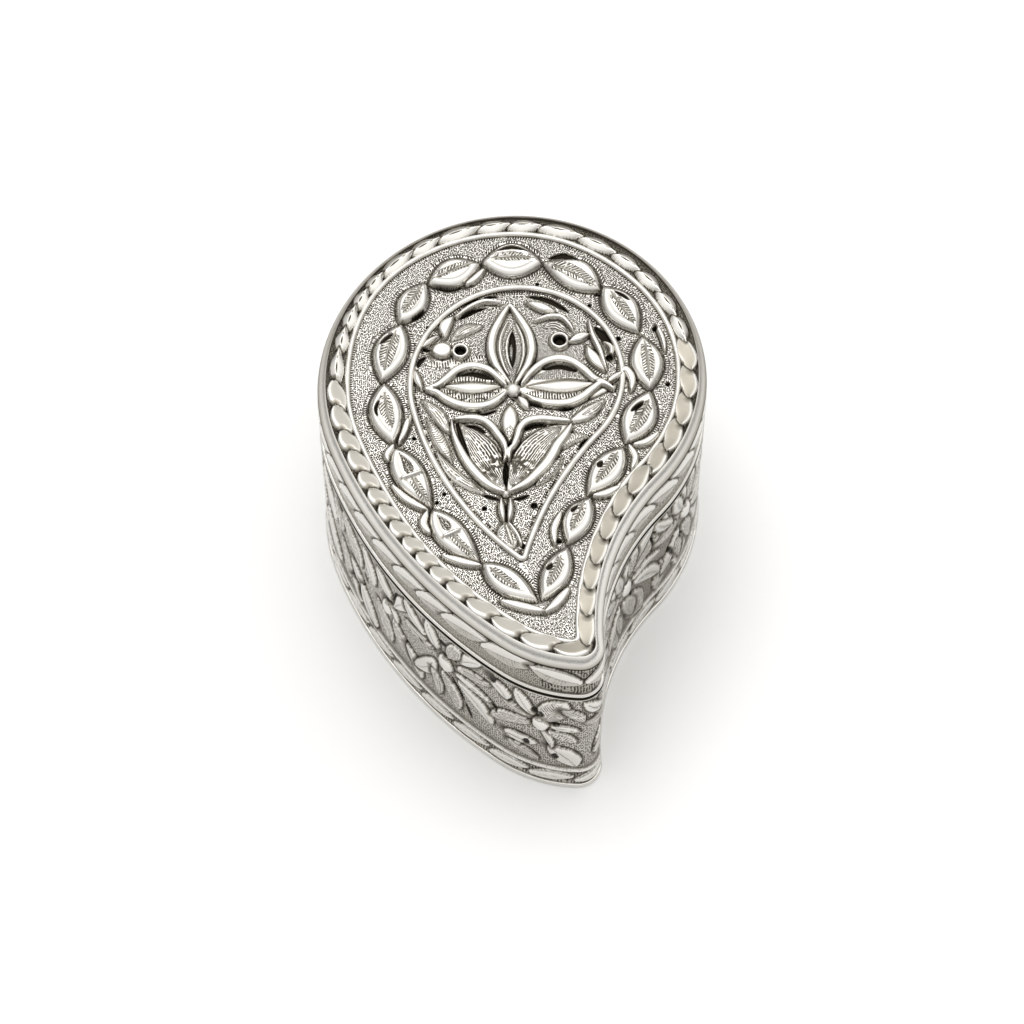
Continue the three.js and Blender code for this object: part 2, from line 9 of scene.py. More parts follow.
# %% The frame and its box
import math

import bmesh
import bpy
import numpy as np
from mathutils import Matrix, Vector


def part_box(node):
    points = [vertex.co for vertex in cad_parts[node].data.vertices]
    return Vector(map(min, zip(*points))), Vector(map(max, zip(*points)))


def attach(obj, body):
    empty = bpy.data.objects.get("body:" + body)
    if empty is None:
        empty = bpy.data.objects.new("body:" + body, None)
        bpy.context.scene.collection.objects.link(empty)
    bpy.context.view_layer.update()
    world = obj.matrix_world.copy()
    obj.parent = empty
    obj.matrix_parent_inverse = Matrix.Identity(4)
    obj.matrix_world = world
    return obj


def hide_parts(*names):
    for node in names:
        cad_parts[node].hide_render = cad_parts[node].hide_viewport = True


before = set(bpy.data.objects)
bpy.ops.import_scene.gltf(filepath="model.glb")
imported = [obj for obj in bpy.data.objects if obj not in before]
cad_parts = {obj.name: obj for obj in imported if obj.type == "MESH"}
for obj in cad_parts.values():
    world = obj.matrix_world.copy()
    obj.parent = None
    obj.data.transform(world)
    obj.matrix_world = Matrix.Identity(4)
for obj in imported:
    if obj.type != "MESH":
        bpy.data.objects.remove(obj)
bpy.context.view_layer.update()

# %% [markdown]
# ## The tools
# The worked sheets are fields of numbers while they are shaped, so numpy does the hammering. The
# plain pieces are shaped by Blender's own tools, and bmesh only picks the points they act on. The
# frame counts in metres, and this file in millimetres, as at the bench.

MM = 0.001
print("nodes in the frame:", sorted(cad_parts))

# %% [markdown]
# ## The heights of the stack
# The box is a stack of strips and wires. Each height is read from the piece that the frame holds,
# so the silver drawn here always sits where the built part sits. A mesh gets its points in metres
# only at the very end.

# %% Heights in millimetres
def span_of(node):
    low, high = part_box(node)
    return low.z / MM, high.z / MM


foot_low, foot_high = span_of("foot_wire")
wall_low, wall_high = span_of("body_wall")
mouth_low, mouth_high = span_of("mouth_wire")
edge_low, edge_high = span_of("lid_edge_wire")
skirt_low, skirt_high = span_of("lid_skirt")
rim_low, rim_high = span_of("rim_moulding")
GROUND_BELOW_RIM = 0.6
ground_z = rim_high - GROUND_BELOW_RIM
print(f"mouth at {mouth_high:.1f} mm, lid ground at {ground_z:.1f} mm")

# %% [markdown]
# ## The drop outline
# A goldsmith draws a drop with compasses. Six arcs follow each other, and each one starts in the
# direction in which the last one ended: the head, the back, the swept flank, the side of the tip,
# the tip itself and the hollow flank. Moving every arc in by the same amount gives the next lane,
# which is how the bands on the lid stay parallel. Where the tip arc is too small to move in any
# further, a tiny fillet joins its two neighbours.

# %% Arcs of a drop
SHARPEST = 0.35


def aim(turn):
    return np.array([math.cos(turn), math.sin(turn)])


def bearing(start, end):
    return math.atan2(end[1] - start[1], end[0] - start[0])


def meet(a, reach_a, b, reach_b):
    """The place that lies one reach from a and another from b, to the left of the way to b."""
    step = b - a
    span = math.hypot(*step)
    along = (reach_a ** 2 - reach_b ** 2 + span ** 2) / (2 * span)
    aside = math.sqrt(max(reach_a ** 2 - along ** 2, 0))
    step = step / span
    return a + step * along + np.array([-step[1], step[0]]) * aside


class Drop:
    """A drop outline: six tangent arcs, anticlockwise from the end of the hollow flank."""

    def __init__(self, head, head_r, back_r, back_turn, tip, tip_r, side_r, tip_turn, flank_r,
                 hollow_r):
        self.head, self.head_r = np.array(head), head_r
        self.back_r, self.back_turn = back_r, math.radians(back_turn)
        self.tip, self.tip_r = np.array(tip), tip_r
        self.side_r, self.tip_turn = side_r, math.radians(tip_turn)
        self.flank_r, self.hollow_r = flank_r, hollow_r
        self.back = self.head + aim(self.back_turn) * (head_r - back_r)
        self.side = self.tip + aim(self.tip_turn) * (tip_r - side_r)
        self.flank = meet(self.back, flank_r - back_r, self.side, flank_r - side_r)
        self.hollow = meet(self.head, hollow_r + head_r, self.tip, hollow_r + tip_r)

    def arcs(self, inset, sharpest=SHARPEST):
        """Each arc as (centre, radius, starting turn, sweep). The hollow one sweeps backwards."""
        corner, corner_r, side_end = self.tip, self.tip_r - inset, self.tip_turn
        if corner_r < sharpest:
            corner_r = sharpest
            corner = meet(self.hollow, self.hollow_r + inset + corner_r,
                          self.side, self.side_r - inset - corner_r)
            side_end = bearing(self.side, corner)
        flank_start, flank_end = bearing(self.flank, self.back), bearing(self.flank, self.side)
        rows = [
            (self.head, self.head_r - inset, bearing(self.head, self.hollow), self.back_turn),
            (self.back, self.back_r - inset, self.back_turn, flank_start),
            (self.flank, self.flank_r - inset, flank_start, flank_end),
            (self.side, self.side_r - inset, flank_end, side_end),
            (corner, corner_r, side_end, bearing(corner, self.hollow)),
        ]
        full = [(c, r, a, (b - a) % (2 * math.pi)) for c, r, a, b in rows]
        a, b = bearing(self.hollow, corner), bearing(self.hollow, self.head)
        full.append((self.hollow, self.hollow_r + inset, a, -((a - b) % (2 * math.pi))))
        return full

    def lane(self, inset, shares):
        """Points round the drop: shares gives the number of steps on each arc."""
        runs = []
        for (centre, r, turn, sweep), steps in zip(self.arcs(inset), shares):
            turns = turn + sweep * np.arange(steps) / steps
            runs.append(np.stack([centre[0] + r * np.cos(turns), centre[1] + r * np.sin(turns)], 1))
        closed = np.concatenate(runs)
        return np.concatenate([closed, closed[:1]])

    def steps(self, inset, pitch, least=2):
        """How many steps of about one pitch each arc needs."""
        return [max(least, round(abs(sweep) * r / pitch)) for _, r, _, sweep in self.arcs(inset)]


# %% [markdown]
# The box needs two drops: the outline of its walls, and the smaller one round the medallion. The
# radii come from lining the drawn drops up with the picture. Each tip is placed from the middle of
# the head, and the two turns, in degrees, are the places where one arc hands over to the next.

# %% The two drops of the box
HEAD = (0.609, 10.650)
OUTLINE = Drop(HEAD, head_r=29.4, back_r=31.4, back_turn=113, tip=(HEAD[0] + 9.6, HEAD[1] - 47.2),
               tip_r=3.5, side_r=21.9, tip_turn=-92, flank_r=73.6, hollow_r=36.8)
MEDALLION = Drop((HEAD[0] + 0.47, HEAD[1] - 0.65), head_r=15.88, back_r=18.04, back_turn=125.3,
                 tip=(HEAD[0] + 0.83, HEAD[1] - 32.21), tip_r=0.5, side_r=2.76, tip_turn=-125.3,
                 flank_r=47.9, hollow_r=54.9)
frame_low, frame_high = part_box("body_wall")
drawn = OUTLINE.lane(0, OUTLINE.steps(0, 0.5))
print("outline", drawn.min(0).round(2), drawn.max(0).round(2))
print("frame", frame_low / MM, frame_high / MM)

# %% [markdown]
# ## The camera
# The photograph looks down on the box at about sixty degrees, from far enough away for the sides
# to stay nearly parallel. A long lens does that. The place and the aim come from lining the
# outlines of the rim and the foot up with the picture.

# %% Camera
CAMERA_AT = (-0.00004, -0.30003, 0.55771)
CAMERA_AIM = (-0.00004, -0.01433, 0.04230)
LENS = 137.4
SENSOR = 36
NEAREST = 0.01


def look(thing, place, target):
    """Puts a camera or a lamp in its place and turns it to its target."""
    thing.location = place
    thing.rotation_euler = (Vector(target) - Vector(place)).to_track_quat("-Z", "Y").to_euler()


camera_data = bpy.data.cameras.new("camera")
camera_data.lens = LENS
camera_data.sensor_width = SENSOR
camera_data.clip_start = NEAREST
camera = bpy.data.objects.new("camera", camera_data)
bpy.context.scene.collection.objects.link(camera)
look(camera, CAMERA_AT, CAMERA_AIM)
bpy.context.scene.camera = camera
print("camera at", CAMERA_AT)

# %% [markdown]
# ## Nodes as sums
# A material is a small calculation made at every point of a surface. Writing it as Python sums
# keeps it readable, so one class wraps a socket and lets +, - and * add the Math nodes.

# %% Sockets that can be added and multiplied
class Socket:
    def __init__(self, paint, socket):
        self.paint, self.socket = paint, socket

    def math(self, operation, *others):
        return self.paint.node("Math", dict(enumerate((self,) + others)), operation=operation)

    def __add__(self, other): return self.math("ADD", other)
    def __radd__(self, other): return self.math("ADD", other)
    def __sub__(self, other): return self.math("SUBTRACT", other)
    def __rsub__(self, other): return (self * -1.0) + other
    def __mul__(self, other): return self.math("MULTIPLY", other)
    def __rmul__(self, other): return self.math("MULTIPLY", other)
    def sine(self): return self.math("SINE")
    def larger(self, other): return self.math("MAXIMUM", other)
    def smaller(self, other): return self.math("MINIMUM", other)

    def between(self, low, high):
        """0 below low, 1 above high, and a soft step from one to the other."""
        return self.paint.node("MapRange", {"Value": self, "From Min": low, "From Max": high},
                               interpolation_type="SMOOTHSTEP")


# %% [markdown]
# Any other node comes from one method, which takes the node's type, its settings and the values or
# wires of its sockets. The same class mixes the light of the room, which is made of nodes too.

# %% A material while it is being mixed
class Paint:
    def __init__(self, name, kind="materials", shader="Principled BSDF"):
        self.material = getattr(bpy.data, kind).new(name)
        self.material.use_nodes = True
        self.tree = self.material.node_tree
        self.shader = self.tree.nodes[shader]

    def node(self, kind, inputs=None, out=0, **settings):
        made = self.tree.nodes.new("ShaderNode" + kind)
        for name, value in settings.items():
            setattr(made, name, value)
        for key, value in (inputs or {}).items():
            if isinstance(value, Socket):
                self.tree.links.new(value.socket, made.inputs[key])
            else:
                made.inputs[key].default_value = value
        return Socket(self, made.outputs[out])

    def mix(self, share, first, second):
        """One colour turning into another as share goes from 0 to 1."""
        return self.node("Mix", {0: share, 6: first, 7: second}, out=2, data_type="RGBA")

    def noise(self, place, scale, detail=2.0):
        return self.node("TexNoise", {"Vector": place, "Scale": scale, "Detail": detail})

    def held(self, name):
        """A value that the mesh carries at each of its points."""
        return self.node("Attribute", out="Fac", attribute_name=name)

    def wear(self, **sockets):
        """Feeds the shader: numbers are set on the socket, wires are linked."""
        for name, value in sockets.items():
            target = self.shader.inputs[name.replace("_", " ")]
            if isinstance(value, Socket):
                self.tree.links.new(value.socket, target)
            else:
                target.default_value = value
        return self.material


# %% [markdown]
# ## Silver
# Polished silver is a little warm and nearly white. Air first dulls it and then turns it
# brown-black where no cloth can reach, so every low place on this box is dark and every high place
# is bright. One helper makes that walk from bright to black, and the three finishes of the box
# feed it in their own ways. The same walk also carries painted shade, where the colour is made
# darker to stand in for shade and reflection. Places are in metres here, so a noise of scale 1000
# has blots of about a millimetre.

# %% Colours of silver
BRIGHT = (0.735, 0.717, 0.680, 1)
DULL = (0.30, 0.278, 0.236, 1)
BLACKENED = (0.020, 0.017, 0.012, 1)


def tarnished_and_shaded(paint, dulled, blackened, relief, strength, depth, roughness):
    """Bright silver that dulls and then blackens with tarnish and painted shade, with a slight
    relief of some depth in metres.
    """
    metal = paint.mix(dulled, BRIGHT, DULL)
    colour = paint.mix(blackened, metal, BLACKENED)
    bump = paint.node("Bump", {"Height": relief, "Strength": strength, "Distance": depth},
                      out="Normal")
    return paint.wear(Base_Color=colour, Metallic=1.0, Normal=bump, Roughness=roughness)


# %% [markdown]
# The worked sheets carry a darkness value at each point: tarnish where it lies low, and painted
# shade in some places. The punched ground is a value called matted. The marks of the punches are
# far too many to model. The little strokes and dots follow the bands, so they are drawn in the
# sheet's own tooling coordinates, which are millimetres along a band and across it. The value
# called hatch chooses strokes or dots.

# %% Chased silver
STROKE_PITCH = 0.42
STROKE_LENGTH = 1.2
DOT_PITCH = 0.30


def chased_silver():
    paint = Paint("chased_silver")
    place = paint.node("TexCoord", out="Object")
    tooling = paint.node("UVMap", uv_map="tooling")
    # the held darkness value is tarnish, and in some places painted shade
    soot, matted, hatch = paint.held("soot"), paint.held("matted"), paint.held("hatch")
    along = paint.node("SeparateXYZ", {0: tooling})
    across = paint.node("SeparateXYZ", {0: tooling}, out=1)
    wander = paint.noise(place, 900.0, 1.0) - 0.5
    strokes = (along * (2 * math.pi / STROKE_PITCH) + wander * 4.5).sine().between(-0.45, 0.75)
    breaks = (across * (2 * math.pi / STROKE_LENGTH) + wander * 3.0).sine().between(-1.0, -0.75)
    dots = paint.node("TexVoronoi", {"Vector": tooling, "Scale": 1 / DOT_PITCH, "Randomness": 0.55},
                      out="Distance", voronoi_dimensions="2D")
    gaps = paint.noise(place, 1500.0, 1.0).between(0.3, 0.5)
    stroked = (1.0 - strokes * breaks) * gaps
    dotted = 1.0 - dots.between(0.14, 0.5)
    marks = stroked * hatch + dotted * (1.0 - hatch)
    cloudy = paint.noise(place, 160.0, 3.0).between(0.35, 0.75)
    scuffs = paint.noise(place, 2600.0, 2.0)
    dark = soot.larger(matted * (marks * 0.80 + 0.07 + cloudy * 0.12))
    return tarnished_and_shaded(paint, dark.between(0.0, 0.55), dark.between(0.45, 1.0),
                     (1.0 - marks) * matted * 0.7 + scuffs * 0.05, 0.8, 0.00016,
                     dark * 0.34 + 0.18 + cloudy * 0.05)


# %% [markdown]
# The wires and the moulding are the places that hands and cloth touch. They are bright, with a
# cloudy bloom, the shallow dents of a long life and the finest of scratches. They also carry
# tarnish and painted shade at the seams between them, painted shade on the back and the low
# shoulder of the moulding, and a painted shadow on the foot where it stands on the table. The
# collar and the floor inside were never chased and seldom rubbed: they are duller, with the soft
# facets that a planishing hammer leaves.

# %% Polished and plain silver
def polished_silver():
    paint = Paint("polished_silver")
    place = paint.node("TexCoord", out="Object")
    cloudy = paint.noise(place, 90.0, 3.0).between(0.4, 0.8)
    dents = paint.noise(place, 420.0, 2.0)
    scuffs = paint.noise(place, 3200.0, 2.0)
    # the held darkness value is tarnish, and on the moulding and the foot also painted shade
    dark = paint.held("soot").larger(cloudy * 0.16)
    return tarnished_and_shaded(paint, dark.between(0.0, 0.6), dark.between(0.5, 1.0), dents + scuffs * 0.12,
                     0.35, 0.0002, dark * 0.4 + 0.23 + cloudy * 0.06)


def plain_silver():
    paint = Paint("plain_silver")
    place = paint.node("TexCoord", out="Object")
    cloudy = paint.noise(place, 60.0, 4.0).between(0.35, 0.75)
    blows = paint.node("TexVoronoi", {"Vector": place, "Scale": 420.0}, out="Distance")
    scuffs = paint.noise(place, 2400.0, 3.0)
    # the held darkness value blackens the collar as painted shade where it shows under the lid
    return tarnished_and_shaded(paint, cloudy * 0.75, paint.held("soot"), blows * 0.6 + scuffs * 0.1,
                     0.4, 0.0002, cloudy * 0.12 + 0.30)


SILVER = {"chased_silver": chased_silver(), "polished_silver": polished_silver(),
          "plain_silver": plain_silver()}
print("silvers mixed:", sorted(SILVER))

# %% [markdown]
# ## Finishing a piece
# Every finished piece rides on the body that carries it, stands for the built node that it
# refines, and takes its finish from one of the part's three silvers.

# %% Finish
def dress(piece, silver, body, nodes=()):
    piece.data.materials.clear()
    piece.data.materials.append(SILVER[silver])
    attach(piece, body)
    for node in nodes:
        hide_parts(node)
    piece.data.calc_loop_triangles()
    print(f"{piece.name}: {len(piece.data.loop_triangles)} triangles")


def settle(name):
    """Ends the shaping of the active piece: its place goes into its mesh, and it gets its name."""
    piece = bpy.context.object
    bpy.ops.object.transform_apply(location=True, rotation=True, scale=True)
    piece.name = piece.data.name = name
    return piece


# %% [markdown]
# ## Wires and mouldings
# A wire is drawn once through a plate, so its section is the same all the way. It is then bent
# round the form, arc by arc. Spinning a section about the centre of each arc in turn does the
# same here, and it can't leave a kink, because the arcs are tangent. With no window open, the
# spin tool turns the other way, so each sweep is given with its sign changed.

# %% Bending a section round the drop
WIRE_CORNER = 0.5
WIRE_PITCH = 0.45
UPRIGHT = math.pi / 2
TOUCHING = 1e-6


def section_start(drop, inset, z):
    """Where a section stands before it is bent, and the turn of the plane it stands in."""
    centre, r, turn, _ = drop.arcs(inset, WIRE_CORNER)[0]
    spot = centre + aim(turn) * r
    return (spot[0] * MM, spot[1] * MM, z * MM), turn


def bend_round(piece, drop, inset, smooth_below=40):
    """Spins the section that is open in edit mode round the drop, and smooths the result."""
    bpy.ops.mesh.select_all(action="SELECT")
    arcs, counts = drop.arcs(inset, WIRE_CORNER), drop.steps(inset, WIRE_PITCH, least=4)
    for (centre, _, _, sweep), steps in zip(arcs, counts):
        bpy.ops.mesh.spin(steps=steps, angle=-sweep, center=(centre[0] * MM, centre[1] * MM, 0),
                          axis=(0, 0, 1))
    bpy.ops.mesh.select_all(action="SELECT")
    bpy.ops.mesh.remove_doubles(threshold=TOUCHING)
    bpy.ops.mesh.normals_make_consistent(inside=False)
    bpy.ops.object.mode_set(mode="OBJECT")
    bpy.ops.object.select_all(action="DESELECT")
    piece.select_set(True)
    bpy.ops.object.shade_smooth_by_angle(angle=math.radians(smooth_below))
    return piece


# %% [markdown]
# Two sections are enough for most of the box. A raised line is a round wire, and the foot, the
# seam wires and the collar are flat strips with rounded edges. Both start as a primitive of one
# millimetre, scaled to its size. The strip's corners are bevelled, and its face is taken away, so
# that only the rim of the section is bent.

# %% Wires and strips
WIRE_SIDES = 20
BEVEL_STEPS = 6


def drawn_wire(name, drop, inset, z, wide, high):
    """A wire of oval section, its middle at one inset and height."""
    place, turn = section_start(drop, inset, z)
    bpy.ops.object.select_all(action="DESELECT")
    bpy.ops.mesh.primitive_circle_add(vertices=WIRE_SIDES, radius=0.5 * MM, location=place,
                                      rotation=(UPRIGHT, 0, turn))
    bpy.context.object.scale = (wide, high, 1)
    piece = settle(name)
    bpy.ops.object.mode_set(mode="EDIT")
    return bend_round(piece, drop, inset)


def bent_strip(name, inner, outer, low, high, round_by):
    """A strip round the outline, between two insets and two heights, its edges rounded."""
    middle = (inner + outer) / 2
    place, turn = section_start(OUTLINE, middle, (low + high) / 2)
    bpy.ops.object.select_all(action="DESELECT")
    bpy.ops.mesh.primitive_plane_add(size=MM, location=place, rotation=(UPRIGHT, 0, turn))
    bpy.context.object.scale = (abs(inner - outer), high - low, 1)
    piece = settle(name)
    bpy.ops.object.mode_set(mode="EDIT")
    bpy.ops.mesh.select_all(action="SELECT")
    bpy.ops.mesh.bevel(offset=round_by * MM, segments=BEVEL_STEPS, affect="VERTICES")
    bpy.ops.mesh.select_all(action="SELECT")
    bpy.ops.mesh.delete(type="ONLY_FACE")
    return bend_round(piece, OUTLINE, middle)


def with_soot_and_shade(piece, rule):
    """Gives a plain piece its tarnish and painted shade: rule takes the points in millimetres."""
    count = len(piece.data.vertices)
    points = np.empty(count * 3)
    piece.data.vertices.foreach_get("co", points)
    soot = piece.data.attributes.new("soot", "FLOAT", "POINT")
    soot.data.foreach_set("value", np.clip(rule(points.reshape(-1, 3) / MM), 0, 1))
    return piece


def fade(distance, over):
    """1 at a seam, falling to 0 over a short distance. It is 1 on the seam's far side too."""
    return np.clip(1 - distance / over, 0, 1)


# %% [markdown]
# ## The plain pieces of the body
# The foot is a flat strip on which the box stands, and the mouth wire is a thinner one on which
# the lid closes. The collar is the plain strip inside the mouth that keeps the lid in place. All
# three are strips soldered to the sheet, so they are bent strips here too. Where two strips meet,
# the cloth never reaches, and a dark line marks the seam. The top of the mouth wire is dark with
# tarnish and painted shade at the gap under the lid, the band of the collar that shows in that gap
# is painted shade, and the lowest edge of the foot is a painted shadow where it stands on the
# table. The flat bottom is left as it is built.

# %% The plain pieces of the body
WALL = 0.9
WIRE_OUT, WIRE_ROUND = -0.12, 0.25
FOOT_IN, FOOT_OUT, FOOT_ROUND = 1.9, -0.4, 0.3
COLLAR_IN, COLLAR_OUT = 2.0, 1.2
DARK_BAND = 0.12
foot = bent_strip("foot_wire_fine", FOOT_IN, FOOT_OUT, foot_low, foot_high, FOOT_ROUND)
# painted shadow on the lowest edge of the foot, where it stands on the table
with_soot_and_shade(foot, lambda p: 0.75 * (p[:, 2] < DARK_BAND))
dress(foot, "polished_silver", "box", ["foot_wire"])

mouth = bent_strip("mouth_wire_fine", WALL, WIRE_OUT, mouth_low, mouth_high, WIRE_ROUND)
# tarnish and painted shade on the top of the mouth wire, at the gap under the lid
with_soot_and_shade(mouth, lambda p: fade(mouth_high - WIRE_ROUND - p[:, 2], DARK_BAND))
dress(mouth, "polished_silver", "box", ["mouth_wire"])

collar_low, collar_high = span_of("inner_collar")
collar = bent_strip("inner_collar_fine", COLLAR_IN, COLLAR_OUT, collar_low, collar_high, WIRE_ROUND)
# painted shade on the band of the collar that shows in the gap under the lid
with_soot_and_shade(collar, lambda p: 1.0 * (p[:, 2] > mouth_high - 0.3) * (p[:, 2] < mouth_high + 0.5))
dress(collar, "plain_silver", "box", ["inner_collar"])

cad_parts["bottom_plate"].data.materials.clear()
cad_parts["bottom_plate"].data.materials.append(SILVER["plain_silver"])

# %% [markdown]
# ## The plain pieces of the lid
# The lid's lower edge has a twin of the mouth wire, and the seam between the two is the black line
# round the box, tarnish and painted shade in the gap. The moulding round the top is highest at its
# inner edge and falls away outwards in a round shoulder. A circle gives it its section: the inner
# half is pressed flat, and the outer half is pulled into the shoulder. Its back is painted grey, a
# painted reflection of the darker end of the room, and the low part of its shoulder is painted
# darker as painted shade.

# %% The plain pieces of the lid
RIM_WIDE = 1.2
RIM_LAP = 0.1
RIM_SIDES = 64
RIM_SMOOTH_BELOW = 50


def shoulder(name, drop, wide, low, high):
    """A moulding highest at its inner edge, that falls away outwards in a round shoulder."""
    place, turn = section_start(drop, wide, low)
    bpy.ops.object.select_all(action="DESELECT")
    bpy.ops.mesh.primitive_circle_add(vertices=RIM_SIDES, radius=MM, location=place,
                                      rotation=(UPRIGHT, 0, turn))
    bpy.context.object.scale = (wide, high - low, 1)
    piece = settle(name)
    outwards = Vector((math.cos(turn), math.sin(turn), 0))
    for vertex in piece.data.vertices:
        reach = (vertex.co - Vector(place)).dot(outwards)
        out = max(reach, 0)
        vertex.co -= outwards * (reach - out)
        share = 1 - min(out / (wide * MM), 1) ** 1.5
        top = (low + (high - low) * share ** 0.72) * MM
        vertex.co.z = low * MM if vertex.co.z <= low * MM else top
    bpy.ops.object.mode_set(mode="EDIT")
    bpy.ops.mesh.select_all(action="SELECT")
    bpy.ops.mesh.remove_doubles(threshold=TOUCHING)
    return bend_round(piece, drop, wide, RIM_SMOOTH_BELOW)


def rim_shade_and_soot(p):
    """Painted grey towards the back as a painted reflection, black in the seam below, and painted
    shade on the low part of the shoulder.
    """
    # painted reflection: grey towards the back; painted shade: darker on the low shoulder
    back = np.clip((p[:, 1] + 12) / 30, 0, 1)
    up = p[:, 2] - rim_low
    return 0.07 + 0.32 * back + fade(up - DARK_BAND, 0.2) + 0.45 * np.clip(1.1 - up / 1.2, 0, 1)


edge = bent_strip("lid_edge_wire_fine", WALL, WIRE_OUT, edge_low, edge_high, WIRE_ROUND)
# tarnish and painted shade on the lower edge of the edge wire, at the gap over the body
with_soot_and_shade(edge, lambda p: fade(p[:, 2] - edge_low - 0.2, DARK_BAND))
dress(edge, "polished_silver", "lid", ["lid_edge_wire"])
rim = with_soot_and_shade(shoulder("rim_moulding_fine", OUTLINE, RIM_WIDE + RIM_LAP, rim_low, rim_high), rim_shade_and_soot)
dress(rim, "polished_silver", "lid", ["rim_moulding"])

# %% [markdown]
# ## The worked sheet
# Repoussé is one sheet of silver. The maker pushes it up from behind, turns it over, and sharpens
# the edges from the front. No single tool in a modelling program does that, so these sheets are
# made another way: a fine grid is laid along the bands, and every blow is a small rule that lifts
# or sinks the points near a given line. The line is the spine of a leaf or a ridge, and
# two widths say how far the form reaches on each side of it. Working on a grid keeps the sheet in
# one piece, as the real one is, and the low places are then known, so the tarnish can settle there.

# %% Lines through given points
LINE_STEPS = 7


def flowing(points):
    """A smooth line through a few points."""
    p = np.array(points, float)
    if len(p) < 3:
        return np.linspace(p[0], p[-1], LINE_STEPS + 1)
    padded = np.vstack([2 * p[0] - p[1], p, 2 * p[-1] - p[-2]])
    rows = []
    for a, b, c, d in zip(padded, padded[1:], padded[2:], padded[3:]):
        for t in np.arange(LINE_STEPS) / LINE_STEPS:
            rows.append(0.5 * (2 * b + (c - a) * t + (2 * a - 5 * b + 4 * c - d) * t ** 2
                               + (3 * b - a - 3 * c + d) * t ** 3))
    return np.array(rows + [p[-1]])


def swelling(t, widest=0.5, full=0.8):
    """How wide a leaf is along its spine, from 0 at one point through 1 to 0 at the other."""
    bent = np.clip(t, 0, 1) ** (math.log(0.5) / math.log(widest))
    return np.sin(math.pi * bent) ** full


# %% [markdown]
# The sheet knows its own points, and how high, how sooty and how marked each one is. Every blow
# first asks which points lie near its line and how deep inside the form they are. The edge of a
# leaf-like form slants where the leaf narrows, so the depth is divided by that slant: the dark
# line which a tracing tool leaves round a form is then equally wide all the way round.

# %% The sheet
HALO = 0.42
MARGIN = 0.8
AHEAD = 0.02
STEEPEST = 3


class Sheet:
    """A field of silver: places in millimetres, and for each its height, soot and tool marks."""

    def __init__(self, x, y):
        self.x, self.y = x, y
        self.height = np.zeros_like(x)
        self.soot = np.zeros_like(x)
        self.matted = np.ones_like(x)
        self.hatch = np.zeros_like(x)
        self.u = x.copy()
        self.v = y.copy()

    def near(self, line, reach):
        """The points near a line, how far along it and how far to its left, and its length."""
        low, high = line.min(0) - reach, line.max(0) + reach
        spot = np.nonzero((self.x > low[0]) & (self.x < high[0])
                          & (self.y > low[1]) & (self.y < high[1]))
        px, py = self.x[spot], self.y[spot]
        best = np.full(px.shape, 1e9)
        along = np.zeros_like(px)
        side = np.ones_like(px)
        run = 0.0
        for a, b in zip(line[:-1], line[1:]):
            step = b - a
            length = max(math.hypot(*step), 1e-9)
            t = np.clip(((px - a[0]) * step[0] + (py - a[1]) * step[1]) / length ** 2, 0, 1)
            dx, dy = px - a[0] - t * step[0], py - a[1] - t * step[1]
            away = np.hypot(dx, dy)
            closer = away < best
            best[closer] = away[closer]
            along[closer] = (run + t * length)[closer]
            side[closer] = np.where(step[0] * dy - step[1] * dx < 0, -1.0, 1.0)[closer]
            run += length
        return spot, along, best * side, run

    def form(self, points, left, right, widest=0.5, full=0.8):
        """The points round a leaf-like form, and how they lie to it. inside is the depth in it."""
        spot, along, aside, run = self.near(flowing(points), max(left, right) + MARGIN)
        t = along / run
        wide = np.where(aside > 0, left, right)
        half = wide * swelling(t, widest, full)
        slope = (wide * swelling(t + AHEAD, widest, full) - half) / (AHEAD * run)
        inside = (half - np.abs(aside)) / np.sqrt(1 + np.minimum(slope ** 2, STEEPEST ** 2))
        return spot, along, aside, t, inside, half

    def put(self, spot, mask, **values):
        """Sets some of the sheet's values where the mask holds."""
        for name, value in values.items():
            field = getattr(self, name)
            field[spot] = np.where(mask, value, field[spot])

    def darken(self, spot, soot):
        self.soot[spot] = np.maximum(self.soot[spot], soot)

    def contour(self, spot, inside, deep=0.16, ink=0.85, halo=HALO):
        """The dark line that a tracing tool leaves round a form."""
        fall = np.clip(1 + inside / halo, 0, 1) * (inside < 0)
        self.height[spot] -= deep * fall
        self.darken(spot, ink * fall ** 0.55)

    def tell(self, step):
        print(f"{step}: {self.height.min():.2f} to {self.height.max():.2f} mm above the ground")


# %% [markdown]
# Two blows raise the metal. A lobe is a smooth pillow, round at its edge, with a sunk vein along
# its spine if wanted: a leaf or a petal. A ridge is a rounded cord: the rim of a petal, or a stalk.

# %% Pillows and cords
def lobe(sheet, points, left, right, high=0.8, edge=0.6, widest=0.5, full=0.8, vein=0.0,
         halo=HALO, ink=0.85):
    """A smooth pillow, with a sunk vein if wanted. Its edge is rounded over the width edge."""
    spot, along, aside, t, inside, half = sheet.form(points, left, right, widest, full)
    sheet.contour(spot, inside, ink=ink, halo=halo)
    height = high * np.sqrt(1 - (1 - np.clip(inside / edge, 0, 1)) ** 2)
    veined = (t > 0.12) * (t < 0.9)
    if vein:
        height = height - vein * np.exp(-(aside / 0.11) ** 2) * veined
    sheet.put(spot, inside > 0, height=height, soot=0.0, matted=0.0)
    if vein:
        soot = vein * 3 * np.exp(-(aside / 0.1) ** 2) * veined * (inside > 0)
        sheet.darken(spot, np.clip(soot, 0, 0.8))
    return spot, along, aside, t, inside, half


